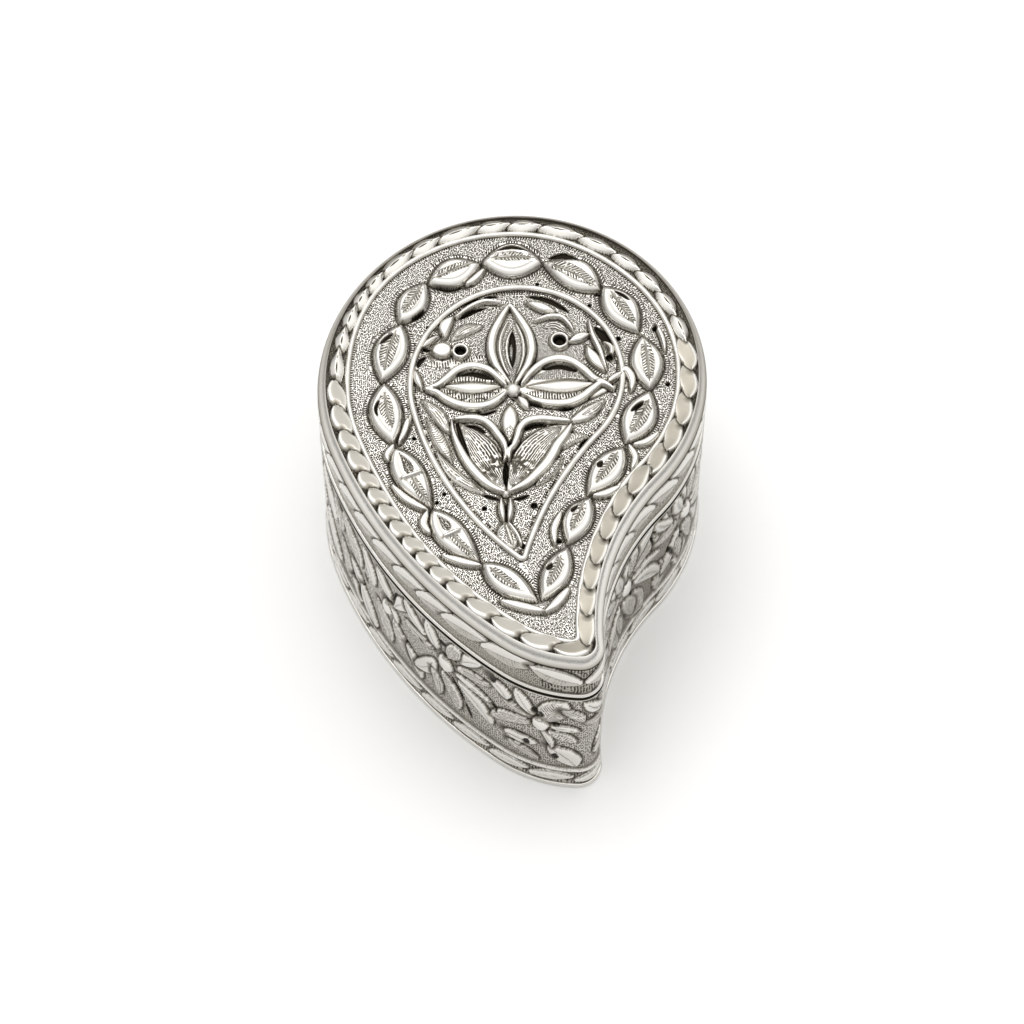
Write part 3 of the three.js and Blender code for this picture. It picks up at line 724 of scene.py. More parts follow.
def ridge(sheet, points, wide, high, widest=0.5, full=0.35, halo=0.3, ink=0.75):
    """A rounded cord of metal."""
    spot, _, aside, _, inside, half = sheet.form(points, wide / 2, wide / 2, widest, full)
    sheet.contour(spot, inside, deep=0.1, ink=ink, halo=halo)
    share = np.clip(np.abs(aside) / np.maximum(half, 1e-6), 0, 1)
    height = high * np.sqrt(np.clip(1 - share ** 3.2, 0, 1))
    height = np.maximum(height, sheet.height[spot] * (inside > 0))
    sheet.put(spot, inside > 0, height=height, soot=0.0, matted=0.0)


# %% [markdown]
# Two blows sink it. A hollow is a dark pocket of leaf shape, and a pit is a round hole punched
# deep, some with a raised ring round them.

# %% Pockets and pits
POCKET_WALL = 0.18
PIT_DEEP = 0.7
PIT_WALL = 0.2
RING_HIGH = 0.8


def hollow(sheet, points, left, right=None, deep=0.55, ink=1.0, widest=0.5, full=0.6):
    """A dark pocket."""
    right = left if right is None else right
    spot, _, _, _, inside, _ = sheet.form(points, left, right, widest, full)
    sheet.height[spot] -= deep * np.clip(inside / POCKET_WALL, 0, 1)
    sheet.darken(spot, ink * np.clip((inside + 0.06) / 0.12, 0, 1))
    sheet.put(spot, inside > 0, matted=0.0)


def pit(sheet, x, y, r, ring=0.0):
    """A round hole punched deep, with a ring round it if wanted."""
    spot = np.nonzero(np.hypot(sheet.x - x, sheet.y - y) < r + ring + 0.6)
    away = np.hypot(sheet.x[spot] - x, sheet.y[spot] - y)
    if ring:
        sheet.contour(spot, r + ring - away, deep=0.12, ink=0.8, halo=0.35)
        share = np.clip((away - r) / ring, 0, 1)
        swell = RING_HIGH * np.sqrt(np.clip(4 * share * (1 - share), 0, 1))
        sheet.put(spot, (away < r + ring) & (away >= r), height=swell, soot=0.0, matted=0.0)
    hole = np.clip((r - away) / PIT_WALL, 0, 1)
    sheet.put(spot, away < r, height=-PIT_DEEP * hole, matted=0.0)
    sheet.put(spot, away < r + 0.05, soot=1.0)


# %% [markdown]
# The last blows only mark the metal. Strokes run across a form or flow along it, and dots mat its
# ground. Each of them gives the points inside a form new tooling coordinates, which the chased
# silver then draws its punches in.

# %% Strokes and dots
def lines_across(sheet, points, left, right, amount, full=0.8, lean=0.0):
    """Short strokes from side to side of a form."""
    spot, along, aside, _, inside, _ = sheet.form(points, left, right, full=full)
    away = np.abs(aside)
    sheet.put(spot, inside > 0, u=along + lean * away, v=away, hatch=1.0, matted=amount)


def lines_along(sheet, points, left, right, amount, pitch=1.0):
    """Long strokes that flow with a form."""
    spot, along, aside, _, inside, half = sheet.form(points, left, right)
    flow = aside / np.maximum(half, 0.2) * max(left, right) * 0.8 + aside * 0.2
    sheet.put(spot, inside > 0, u=flow / pitch, v=along * 0.1, hatch=1.0, matted=amount)


def combed(sheet, spot, mask, u, amount):
    """A row of parallel strokes that stand square to the direction in which u grows."""
    sheet.put(spot, mask, u=u, v=0.0, hatch=1.0, matted=amount)


def dotted(sheet, points, left, right, amount=1.0, widest=0.5, full=0.8):
    """Punched dots."""
    spot, _, _, _, inside, _ = sheet.form(points, left, right, widest, full)
    sheet.put(spot, inside > 0, hatch=0.0, matted=amount)


# %% [markdown]
# Tarnish gathers wherever the sheet lies lower than what is round it. So the heights are spread
# out over their neighbours, and where the sheet is lower than this calm version of itself, soot
# settles. Where it is higher, half of the soot is rubbed off again.

# %% Tarnish
CALMINGS = 3


def spread(field, reach):
    """The mean over a few neighbours each way. Beyond an edge, the edge's own value counts on."""
    width = 2 * reach + 1
    for axis in (0, 1):
        pads = [(reach, reach) if a == axis else (0, 0) for a in (0, 1)]
        padded = np.pad(field, pads, mode="edge")
        total = np.insert(np.cumsum(padded, axis=axis), 0, 0, axis=axis)
        ahead = np.take(total, np.arange(width, total.shape[axis]), axis=axis)
        behind = np.take(total, np.arange(0, total.shape[axis] - width), axis=axis)
        field = (ahead - behind) / width
    return field


def settle_soot(sheet, reach, strength):
    """Tarnish gathers where the sheet lies lower than its surroundings."""
    calm = sheet.height
    for _ in range(CALMINGS):
        calm = spread(calm, reach)
    low = calm - sheet.height
    rubbed = sheet.soot * (1 - 0.5 * np.clip(-low * 4, 0, 1))
    sheet.soot = np.clip(np.maximum(rubbed, low * strength), 0, 1)


# %% [markdown]
# A worked sheet becomes a mesh in one go: a grid primitive with as many points as the field, each
# moved to its place. The ring of the border and the strips of the walls are closed behind with a
# few plain rows, so each piece is a solid shell, as thick as the silver.

# %% From sheet to mesh
HIDDEN_SOOT = 0.3


def carried(sheet):
    """What the mesh of a sheet carries besides its shape."""
    return {key: getattr(sheet, key) for key in ("soot", "matted", "hatch", "u", "v")}


def grid_mesh(name, points, values, closed=True):
    """A grid of points (rows, columns, 3) in millimetres as a mesh, with a sheet's values on it."""
    rows, columns = points.shape[:2]
    bpy.ops.object.select_all(action="DESELECT")
    bpy.ops.mesh.primitive_grid_add(x_subdivisions=columns - 1, y_subdivisions=rows - 1, size=1)
    piece = settle(name)
    mesh = piece.data
    mesh.vertices.foreach_set("co", (points.reshape(-1, 3) * MM).ravel())
    for key in ("soot", "matted", "hatch"):
        held = mesh.attributes.new(key, "FLOAT", "POINT")
        held.data.foreach_set("value", values[key].ravel())
    tooling = np.stack([values["u"].ravel(), values["v"].ravel()], 1)
    corners = np.empty(len(mesh.loops), int)
    mesh.loops.foreach_get("vertex_index", corners)
    while mesh.uv_layers:
        mesh.uv_layers.remove(mesh.uv_layers[0])
    layer = mesh.uv_layers.new(name="tooling")
    layer.uv.foreach_set("vector", tooling[corners].ravel())
    mesh.update()
    if closed:
        bpy.ops.object.mode_set(mode="EDIT")
        bpy.ops.mesh.select_all(action="SELECT")
        bpy.ops.mesh.remove_doubles(threshold=TOUCHING)
        bpy.ops.object.mode_set(mode="OBJECT")
    bpy.ops.object.shade_smooth()
    return piece


def at_height(lane, z):
    """A flat lane as points at one height."""
    return np.column_stack([lane, np.full(len(lane), z)])


def with_back(sheet, front, back_rows):
    """Adds the hidden rows behind a worked ring, and the first row again to close it."""
    points = np.concatenate([front] + [row[None] for row in back_rows] + [front[:1]])
    values = {}
    for key, field in carried(sheet).items():
        hidden = np.full((len(back_rows), field.shape[1]), HIDDEN_SOOT if key == "soot" else 0.0)
        values[key] = np.concatenate([field, hidden, field[:1]])
    return points, values


# %% [markdown]
# ## The border of the lid
# Next to the smooth rim runs a narrow band of pointed leaves, tip to tip. At the back they are
# long, with a slit cut down each one, and on the flanks they turn into short slanted scales, each
# with a bright lip and a hollow side. The maker didn't divide the band with compasses, so the
# line inside the leaves wanders by up to a millimetre. The grid of the band is stretched between
# the rim and that line. LINE_BENDS says how far in the line lies at some lengths round the box.

# %% Lanes as a grid
LINE_INSET = 4.4
GRID_PITCH = 0.165
SHARES = OUTLINE.steps(LINE_INSET, GRID_PITCH, least=24)
CALM = 40
BORDER_ROWS = 28
LINE_BENDS = [
    (0, 4.4), (18, 4.35), (35, 4.45), (48, 4.95), (60, 4.35), (75, 4.1), (88, 3.5), (98, 3.45),
    (111, 4.7), (135, 4.6), (155, 3.8), (172, 4.0), (193, 3.75), (206, 3.9), (219, 4.4),
]


def length_along(points):
    return np.concatenate([[0], np.cumsum(np.hypot(*np.diff(points, axis=0).T))])


def at_length(points, marks, s):
    """The place at a length along a closed lane."""
    s = np.mod(s, marks[-1])
    return np.stack([np.interp(s, marks, points[:, 0]), np.interp(s, marks, points[:, 1])], -1)


rim_lane = OUTLINE.lane(RIM_WIDE, SHARES)
even_lane = OUTLINE.lane(LINE_INSET, SHARES)
outline_marks = length_along(OUTLINE.lane(0, SHARES))
wander = np.interp(outline_marks, *np.array(LINE_BENDS, float).T)
wander = np.convolve(np.concatenate([wander[-CALM - 1:-1], wander, wander[1:CALM + 1]]),
                     np.full(2 * CALM + 1, 1 / (2 * CALM + 1)), "valid")
line_share = ((wander - RIM_WIDE) / (LINE_INSET - RIM_WIDE))[:, None]
line_lane = rim_lane + (even_lane - rim_lane) * line_share
print(f"the line lies {wander.min():.2f} to {wander.max():.2f} mm from the outline")

border_share = np.linspace(0, 1, BORDER_ROWS)[:, None, None]
border_plan = rim_lane * (1 - border_share) + line_lane * border_share
border = Sheet(border_plan[..., 0], border_plan[..., 1])
border.u = np.broadcast_to(outline_marks, border.x.shape).copy()
border.v = border_share[..., 0] * (wander - RIM_WIDE)
border.soot[:] = 0.78 - 0.06 * border.v

# %% [markdown]
# The leaves differ in length, so their lengths are listed: round the head, down the swept flank to
# the tip, and back along the hollow flank. They are then stretched a little until they fill the
# lane. A form that is short and lies on a flank is a scale, and the rest are leaves. A scale is
# wider, laps over its neighbours and lies more aslant, and its inward slope is darkened as painted
# shade, more on the right. The small triangles of ground between the forms are nearly black.

# %% Leaves and scales of the border
LEAF_LENGTHS = [5.0] * 9 + [6.1, 6.7, 5.0, 4.9, 6.6, 4.9, 6.0, 3.8, 3.6, 4.2, 4.1, 5.8, 4.5, 4.5]
LEAF_LENGTHS += [3.8, 3.9, 3.3, 3.2, 3.3, 3.4, 3.3, 3.3, 3.6, 4.2, 4.9, 5.2, 5.4, 5.4, 5.0]
LEAF_LENGTHS += [4.4] * 6
LONGEST_SCALE = 5.4
SCALES_END_Y = 14
# how dark the painted shade on a scale's inward slope is, on the left flank and on the right one
LEFT_SCALE_SHADE, RIGHT_SCALE_SHADE = 0.36, 0.5
LEAF = dict(lap=0.12, sway=0.15, wide=1.12, full=0.75)
SCALE = dict(lap=0.14, sway=0.45, wide=1.5, full=0.5)


def border_leaf(spine, spot, share, mask):
    """A keeled leaf, with a slit down its middle and a nick near its start."""
    border.put(spot, mask, height=0.35 + 0.55 * (1 - np.abs(share) ** 1.3), soot=0.0, matted=0.0)
    hollow(border, spine[1:4] * 0.8 + spine[2] * 0.2, 0.14, deep=0.25, ink=0.9)
    hollow(border, [spine[1] * 0.6 + spine[0] * 0.4, spine[1]], 0.12, deep=0.2, ink=0.7)


def border_scale(spot, share, mask, painted_shade):
    """A scale that slopes inwards from a narrow bright lip, with painted shade on its inward slope.
    """
    lip = 1 - np.clip((-0.6 - share) / 0.4, 0, 1) ** 2
    slope = np.clip((share + 0.4) / 1.4, 0, 1)
    border.put(spot, mask, height=0.3 + 0.55 * lip - 0.3 * slope, soot=0.0, matted=0.0)
    # painted shade on the inward slope of the scale
    border.darken(spot, painted_shade * np.clip((share + 0.7) / 0.25, 0, 1) * mask)


leaf_lane = (rim_lane + line_lane) / 2
leaf_marks = length_along(leaf_lane)
leaf_ends = np.concatenate([[0], np.cumsum(LEAF_LENGTHS)]) * leaf_marks[-1] / sum(LEAF_LENGTHS)
for start, end in zip(leaf_ends, leaf_ends[1:]):
    middle = at_length(leaf_lane, leaf_marks, (start + end) / 2)
    scale = end - start < LONGEST_SCALE and middle[1] < SCALES_END_Y
    kind = SCALE if scale else LEAF
    shares = np.array([-kind["lap"], 0.25, 0.5, 0.75, 1 + kind["lap"]])
    spots = at_length(leaf_lane, leaf_marks, start + (end - start) * shares)
    inwards = np.array(HEAD) * [1, 0.6] - spots[2]
    sway = kind["sway"] * np.array([-1, -0.6, 0, 0.6, 1])
    spine = spots + sway[:, None] * inwards / math.hypot(*inwards)
    spot, _, aside, _, inside, half = border.form(spine, kind["wide"], kind["wide"],
                                                  full=kind["full"])
    border.contour(spot, inside, deep=0.2, ink=1.0, halo=0.36)
    share = np.clip(aside / np.maximum(half, 0.05), -1, 1)
    if scale:
        border_scale(spot, share, inside > 0, RIGHT_SCALE_SHADE if middle[0] > 5 else LEFT_SCALE_SHADE)
    else:
        border_leaf(spine, spot, share, inside > 0)
settle_soot(border, reach=2, strength=1.2)
print(len(LEAF_LENGTHS), "leaves and scales in the border")

# %% [markdown]
# The border and the garland are both rings in the top of the lid, as thick as its sheet, so one
# helper gives them their flat underside.

# %% A ring of the lid's top
TOP_SHEET = 0.8
lid_underside = ground_z - TOP_SHEET


def top_ring(name, sheet, plan):
    front = np.concatenate([plan, (ground_z + sheet.height)[..., None]], -1)
    back = [at_height(lane, lid_underside) for lane in (plan[-1], plan[0])]
    dress(grid_mesh(name, *with_back(sheet, front, back)), "chased_silver", "lid", ["lid_top"])


top_ring("lid_border_sheet", border, border_plan)

# %% [markdown]
# ## The garland
# Fifteen leaves follow each other round the lid, point to point. Their ground is matted with short
# strokes that stand square to the raised lines near them, and with dots in the middle of the band.
# The grid runs from the outer line to the medallion, and a dark traced line follows both edges.

# %% Garland ground
GARLAND_ROWS = 74
STROKES_WITHIN = 0.75
TRACED_AT, TRACED_WIDE = 0.48, 0.2
garland_outer, garland_inner = line_lane, MEDALLION.lane(0, SHARES)
row_share = np.linspace(0, 1, GARLAND_ROWS)[:, None, None]
garland_plan = garland_outer[None] * (1 - row_share) + garland_inner[None] * row_share
garland = Sheet(garland_plan[..., 0], garland_plan[..., 1])
outer_away = np.hypot(*(garland_plan - garland_outer[None]).transpose(2, 0, 1))
inner_away = np.hypot(*(garland_plan - garland_inner[None]).transpose(2, 0, 1))
garland.u = np.where(outer_away < inner_away, length_along(garland_outer)[None],
                     length_along(garland_inner)[None])
garland.v = np.minimum(outer_away, inner_away)
garland.hatch = 1.0 * (garland.v < STROKES_WITHIN)
garland.soot = 0.55 * np.clip(1 - np.abs(garland.v - TRACED_AT) / TRACED_WIDE, 0, 1)

# %% [markdown]
# Each leaf of the garland is a full form with a dished middle, which is a little darker as painted
# shade, inside a dark ring and a comb of strokes. A leaf is listed as its two points, its half
# widths to the left and the right, and the share of its length where it is widest. Narrow bright
# ridges follow the leaves on the outside, each listed as its line and width.

# %% Garland leaves
LEAF_HIGH = 1.35
LEAF_ROUND = 2.3
DISH = 0.42
LEAVES = [
    ((-4.8, 30.3), (4.7, 30.3), 3.6, 2.5, 0.5), ((-5.0, 30.1), (-13.1, 26.5), 2.25, 2.8, 0.5),
    ((-13.4, 26.6), (-17.5, 19.3), 2.2, 2.4, 0.5), ((-17.1, 19.1), (-20.1, 8.7), 2.4, 2.9, 0.48),
    ((-19.7, 8.5), (-18.1, -2.4), 2.1, 3.0, 0.48), ((-18.0, -3.1), (-12.2, -13.6), 2.3, 2.5, 0.42),
    ((-12.2, -13.9), (-4.9, -22.9), 2.1, 2.6, 0.42), ((-4.5, -23.0), (3.8, -29.3), 2.0, 2.3, 0.45),
    ((4.7, 30.4), (13.8, 25.3), 3.4, 1.9, 0.55), ((14.0, 25.9), (19.5, 17.7), 2.9, 2.3, 0.48),
    ((20.0, 16.9), (21.1, 7.3), 2.8, 2.3, 0.48), ((21.2, 7.1), (17.3, -2.1), 2.8, 2.4, 0.5),
    ((17.0, -3.0), (11.4, -11.1), 2.4, 2.3, 0.46), ((11.9, -11.7), (8.3, -19.6), 1.9, 2.5, 0.48),
    ((8.4, -20.2), (4.4, -29.1), 2.3, 2.0, 0.48),
]
CRESCENTS = [
    ([(-18.3, -9.6), (-16.0, -12.0), (-12.6, -14.1)], 1.1),
    ([(-10.5, -21.8), (-7.7, -22.7), (-4.6, -23.5)], 1.1),
    ([(-1.8, -29.4), (1.8, -30.4), (5.1, -31.2)], 1.2),
    ([(5.0, -31.2), (6.7, -29.6), (8.5, -27.2)], 1.3),
    ([(-12.8, -14.2), (-13.4, -16.2), (-12.4, -18.0)], 1.2),
    ([(-17.3, -2.4), (-16.3, 0.1), (-15.5, 2.6)], 0.9),
    ([(-18.0, -2.6), (-19.0, -4.2), (-18.9, -5.4)], 1.0),
    ([(-7.2, 26.2), (-5.8, 27.4), (-4.4, 29.0)], 1.0),
    ([(18.4, -2.6), (20.4, -2.0), (22.4, -0.4)], 1.0),
    ([(17.7, -2.6), (18.7, -4.6), (18.2, -6.8)], 1.0),
    ([(12.2, -11.5), (14.2, -11.0), (16.4, -9.8)], 1.1),
    ([(7.4, -14.2), (6.3, -17.0), (6.4, -19.8)], 1.0),
    ([(16.4, 10.0), (17.5, 10.9), (18.4, 9.2), (18.3, 7.0)], 1.1),
    ([(22.2, 19.2), (23.2, 16.6), (23.6, 14.2)], 0.7),
    ([(-16.0, 2.0), (-16.6, -0.6), (-17.2, -2.0)], 0.8),
]


def garland_leaf(a, b, left, right, widest):
    """A full leaf from point a to point b, with a comb of strokes round it and a dished middle."""
    spot, along, _, t, inside, _ = garland.form([a, b], left, right, widest, full=0.85)
    comb = (inside < -0.35) & (inside > -0.85) & (t > 0.04) & (t < 0.96)
    combed(garland, spot, comb, along * 1.05, 1.0)
    garland.contour(spot, inside, deep=0.3, ink=1.0, halo=0.45)
    rise = np.sqrt(1 - (1 - np.clip(inside / LEAF_ROUND, 0, 1)) ** 2)
    sunk = np.clip((inside - 0.7) / 0.9, 0, 1)
    height = LEAF_HIGH * rise - DISH * sunk ** 2 * (3 - 2 * sunk)
    # painted shade: the dished middle is a little darker
    garland.put(spot, inside > 0, height=height, soot=0.17 * sunk, matted=0.0)


for leaf in LEAVES:
    garland_leaf(*leaf)
for line, wide in CRESCENTS:
    ridge(garland, line, wide * 1.2, 0.95, full=0.45, halo=0.34, ink=0.95)
print(len(LEAVES), "leaves in the garland")

# %% [markdown]
# Last come the cuts: a midrib with a fern of short strokes on each leaf, and by the edge of some
# leaves a small sunk notch, black where the cloth can't reach. Three leaves have a sunk and dotted
# recess, and two of these a short bar across. A few round pits are scattered over the ground.
# Cuts are listed as a line and its half widths, and pits as a place and a radius.

# %% Cuts in the garland leaves
FERNS = [
    ([(-3.4, 31.0), (0.0, 31.2), (3.4, 31.0)], 0.9, 0.7),
    ([(-12.3, 27.2), (-9.5, 28.7), (-6.0, 30.1)], 0.9, 0.5),
    ([(-14.1, 25.9), (-15.7, 23.1), (-17.0, 20.8)], 0.9, 1.0),
    ([(-17.9, 17.7), (-19.1, 14.1), (-19.7, 10.4)], 1.2, 1.3),
    ([(-19.6, 6.6), (-19.2, 3.6), (-18.3, 0.2)], 0.9, 1.1),
    ([(-15.3, -8.3), (-12.6, -13.2)], 0.7, 0.8), ([(-9.4, -17.9), (-5.6, -22.3)], 0.6, 0.8),
    ([(-3.4, -23.9), (-1.2, -25.9), (1.2, -27.6)], 0.8, 0.8),
    ([(5.3, 30.1), (9.4, 28.3), (13.2, 25.6)], 1.3, 0.9),
    ([(15.3, 24.9), (17.2, 21.7), (19.0, 18.6)], 0.9, 0.8),
    ([(20.4, 15.9), (20.9, 12.0), (21.1, 8.4)], 1.0, 0.9),
    ([(21.0, 5.4), (19.6, 2.2), (18.0, -0.8)], 1.2, 1.0),
    ([(16.1, -4.0), (14.3, -6.8), (12.7, -9.3)], 0.9, 0.8),
    ([(10.9, -12.4), (10.0, -14.8), (8.8, -17.6)], 0.8, 0.8),
    ([(7.4, -21.8), (6.4, -24.4), (5.2, -27.2)], 0.9, 0.7),
]
NOTCHES = [
    ([(-3.2, 32.3), (0.0, 33.4), (3.2, 32.3)], 0.15, 0.8),
    ([(5.6, 31.3), (8.2, 31.9), (10.8, 30.6)], 0.55, 0.55),
    ([(-12.6, 26.1), (-10.0, 25.6), (-7.4, 26.0)], 0.4, 0.4),
    ([(-15.8, 19.9), (-14.6, 20.6), (-13.6, 21.8)], 0.35, 0.3),
    ([(-18.4, 17.1), (-19.4, 16.2), (-20.5, 15.1)], 0.28, 0.5),
    ([(-20.4, 5.2), (-20.9, 3.6), (-20.6, 2.2)], 0.3, 0.3),
    ([(15.8, 24.9), (17.2, 24.2), (18.3, 23.1)], 0.25, 0.42),
    ([(18.1, 3.1), (19.0, 3.9), (20.2, 5.0)], 0.42, 0.28),
    ([(13.0, -6.7), (13.3, -6.1), (13.7, -5.6)], 0.5, 0.5),
    ([(8.9, -14.5), (9.3, -13.8), (9.9, -13.2)], 0.42, 0.42),
    ([(5.2, -24.4), (5.5, -23.8), (6.0, -23.2)], 0.5, 0.5),
    ([(12.6, 24.8), (13.2, 24.7), (14.0, 24.8)], 0.3, 0.3),
]
RECESSES = [
    ([(-17.3, -4.0), (-16.0, -6.2), (-15.4, -7.9)], 0.75, 0.75),
    ([(-11.4, -14.8), (-10.2, -16.4), (-9.5, -17.6)], 0.75, 0.7),
    ([(20.9, 5.3), (19.6, 3.8), (19.2, 2.4)], 0.7, 0.7),
]
BARS = [((-16.8, -8.7), (-13.6, -7.4)), ((-10.4, -18.8), (-7.8, -17.5))]
GARLAND_PITS = [
    (-10.3, -10.9, 0.3), (-11.4, -12.4, 0.28), (-15.0, -1.2, 0.3), (12.0, 22.7, 0.3),
    (16.4, 16.7, 0.38), (22.1, 18.4, 0.4), (23.9, 8.5, 0.36), (-13.0, 18.6, 0.32),
    (3.9, 26.6, 0.28), (7.1, -19.0, 0.4),
]


def fern(points, left, right):
    """A cut midrib with a row of short cuts on each side, leaning towards its end."""
    spot, along, aside, t, inside, _ = garland.form(points, left, right, widest=0.45, full=0.5)
    cut = np.exp(-(aside / 0.1) ** 2) * (t > 0.01) * (t < 0.99)
    garland.height[spot] -= 0.14 * cut
    garland.darken(spot, 0.85 * cut)
    row = (inside > 0) & (np.abs(aside) > 0.16) & (t > 0.1) & (t < 0.92)
    combed(garland, spot, row, along * 0.8 - np.abs(aside) * 0.6, 0.85)


for line in FERNS:
    fern(*line)
for line, left, right in RECESSES:
    hollow(garland, line, left, right, deep=0.4, ink=0.35, widest=0.72)
    dotted(garland, line, left, right, widest=0.72)
for line, left, right in NOTCHES:
    hollow(garland, line, left, right, deep=0.5)
for bar in BARS:
    ridge(garland, bar, 0.75, 1.45, halo=0.2, ink=0.6)
for x, y, r in GARLAND_PITS:
    pit(garland, x, y, r)
settle_soot(garland, reach=2, strength=1.25)
garland.tell("garland")
top_ring("lid_garland_sheet", garland, garland_plan)

# %% [markdown]
# ## The medallion
# The middle of the lid is one flower seen from the front, with a domed boss, a petal up, a petal
# to each side, a small bud below, and two long curling leaves on a short stem. A ring can't fill a
# middle without a pole, so this sheet is a square grid, and its drop is cut out at the end. The
# ground has strokes by its edge and dots further in.

# %% Medallion ground
MEDALLION_PITCH = 0.115
UNDER_LINE = 0.15
ALL_OVER = 60
MEDAL_STROKES_WITHIN = 1.2
MEDAL_TRACED_AT, MEDAL_TRACED_WIDE = 0.55, 0.3
medal_line = MEDALLION.lane(-UNDER_LINE, MEDALLION.steps(0, 0.25))
medal_low, medal_high = medal_line.min(0), medal_line.max(0)
medal_columns, medal_rows = ((medal_high - medal_low) / MEDALLION_PITCH).astype(int) + 1
medal = Sheet(*np.meshgrid(medal_low[0] + MEDALLION_PITCH * np.arange(medal_columns),
                           medal_low[1] + MEDALLION_PITCH * np.arange(medal_rows)))
_, medal_along, medal_aside, _ = medal.near(medal_line, ALL_OVER)
inside_medal = medal_aside.reshape(medal.x.shape)
medal.u = medal_along.reshape(medal.x.shape)
medal.v = np.abs(inside_medal)
medal.hatch = 1.0 * (medal.v < MEDAL_STROKES_WITHIN)
medal.soot = 0.75 * np.clip(1 - np.abs(medal.v - MEDAL_TRACED_AT) / MEDAL_TRACED_WIDE, 0, 1)
print("medallion grid", medal.x.shape, "deepest inside:", inside_medal.max().round(1))

# %% [markdown]
# The forms of the medallion are drawn one by one, as a chaser follows lines scribed on the sheet:
# the blow, the line it follows, its half widths and its height. Round the edge lie small leaves,
# buds and two ringed pits, the left group first and then the right one.

# %% Small leaves round the edge of the medallion
lines_across(medal, [(-13.6, 12.0), (-8.0, 12.6), (-3.8, 13.5)], 0.8, 1.2, 0.95)
hollow(medal, [(-8.7, 22.4), (-7.0, 23.3), (-5.2, 23.9)], 0.45)
hollow(medal, [(-4.5, 24.0), (-3.3, 24.3), (-2.2, 24.3)], 0.3)
ridge(medal, [(-8.8, 20.2), (-6.5, 22.2), (-4.2, 23.2), (-1.7, 22.9)], 0.8, 0.95)
hollow(medal, [(-8.3, 20.1), (-5.9, 21.6), (-3.9, 22.3)], 0.36)
lobe(medal, [(-10.4, 16.5), (-10.2, 18.6), (-9.0, 20.5)], 1.2, 0.7, 0.85)
lobe(medal, [(-9.4, 16.4), (-7.4, 18.2), (-4.6, 18.9)], 0.8, 1.0, 0.5, ink=0.7)
lines_along(medal, [(-9.0, 16.7), (-7.3, 18.2), (-5.2, 18.9)], 0.5, 0.8, 0.75)
lobe(medal, [(-12.4, 14.0), (-10.9, 14.3), (-9.2, 14.3)], 1.45, 1.3, 0.9, full=0.5)
lobe(medal, [(-14.0, 14.6), (-12.8, 16.0), (-11.2, 17.0)], 0.5, 0.45, 0.85)
hollow(medal, [(-14.1, 14.9), (-13.4, 14.6), (-12.6, 14.6)], 0.3)
hollow(medal, [(-14.6, 11.4), (-14.2, 12.5), (-13.3, 13.4)], 0.42)
pit(medal, -8.0, 14.2, 0.75, 0.65)
lobe(medal, [(-15.0, 11.0), (-14.5, 9.4), (-13.8, 7.2)], 0.45, 0.75, 0.8)
hollow(medal, [(2.2, 24.4), (4.9, 23.9), (6.9, 22.9), (8.9, 21.4)], 0.5)
lobe(medal, [(2.2, 23.0), (4.4, 22.5), (6.8, 21.3)], 0.6, 1.0, 0.85)
lines_along(medal, [(4.6, 18.6), (6.6, 19.1), (8.6, 17.8)], 0.8, 0.8, 0.9)
ridge(medal, [(3.4, 19.6), (5.6, 20.5), (7.6, 20.4), (8.8, 19.1), (9.4, 17.9)], 0.8, 0.85)
pit(medal, 7.3, 16.1, 0.9, 0.65)
lobe(medal, [(8.7, 15.9), (10.4, 16.8), (12.1, 17.4)], 0.75, 0.8, 0.85, vein=0.1)
lines_across(medal, [(11.0, 13.8), (13.0, 11.4), (14.4, 9.8)], 1.4, 1.2, 0.9)
hollow(medal, [(12.7, 18.9), (14.1, 17.1), (15.4, 15.0)], 0.72)
lobe(medal, [(11.5, 15.4), (12.2, 13.6), (14.3, 10.6)], 0.95, 0.9, 0.85)
ridge(medal, [(11.8, 19.9), (12.4, 17.2), (13.5, 14.4), (14.5, 10.8)], 0.9, 1.0, full=0.6)
lobe(medal, [(14.0, 16.1), (15.3, 14.9), (15.2, 12.6)], 0.45, 0.5, 0.85)
pit(medal, 15.0, 13.2, 0.55)
ridge(medal, [(14.6, 8.4), (15.6, 9.4), (16.9, 10.2)], 1.0, 1.0)
medal.tell("leaves round the edge")

# %% [markdown]
# Below the side petals lie flat, lined leaves, lower and greyer than the rest. They are dull all
# over, so their edges are traced only lightly.

# %% The side leaves below the flower
lobe(medal, [(-13.8, 5.6), (-11.4, 3.2), (-9.4, -0.6)], 0.9, 1.1, 0.5, ink=0.6)
lines_along(medal, [(-13.6, 5.2), (-11.3, 3.0), (-9.6, -0.4)], 0.75, 0.95, 0.6)
lobe(medal, [(-13.0, 2.2), (-11.2, -1.4), (-9.2, -5.6)], 1.0, 0.9, 0.5, ink=0.6)
lines_across(medal, [(-12.8, 1.8), (-11.0, -1.6), (-9.4, -5.2)], 0.8, 0.7, 0.6, lean=0.5)
lobe(medal, [(-11.6, -3.6), (-8.8, -7.6), (-4.2, -11.0)], 0.9, 0.9, 0.45, ink=0.6)
lines_along(medal, [(-11.2, -4.0), (-8.7, -7.5), (-4.8, -10.6)], 0.7, 0.7, 0.7)
hollow(medal, [(-13.6, -0.6), (-12.9, -2.9), (-11.7, -5.0)], 0.3)
lobe(medal, [(8.6, 1.6), (11.4, 3.4), (14.2, 5.6)], 0.8, 1.2, 0.6, ink=0.7)
lines_along(medal, [(10.6, 2.6), (12.4, 3.8), (13.8, 5.0)], 0.4, 0.8, 0.7)
lobe(medal, [(7.0, -3.2), (9.0, -1.2), (11.4, -0.8)], 0.9, 0.9, 0.5, ink=0.6)
lines_across(medal, [(7.3, -3.0), (9.0, -1.2), (11.0, -0.9)], 0.75, 0.7, 0.7, lean=0.4)
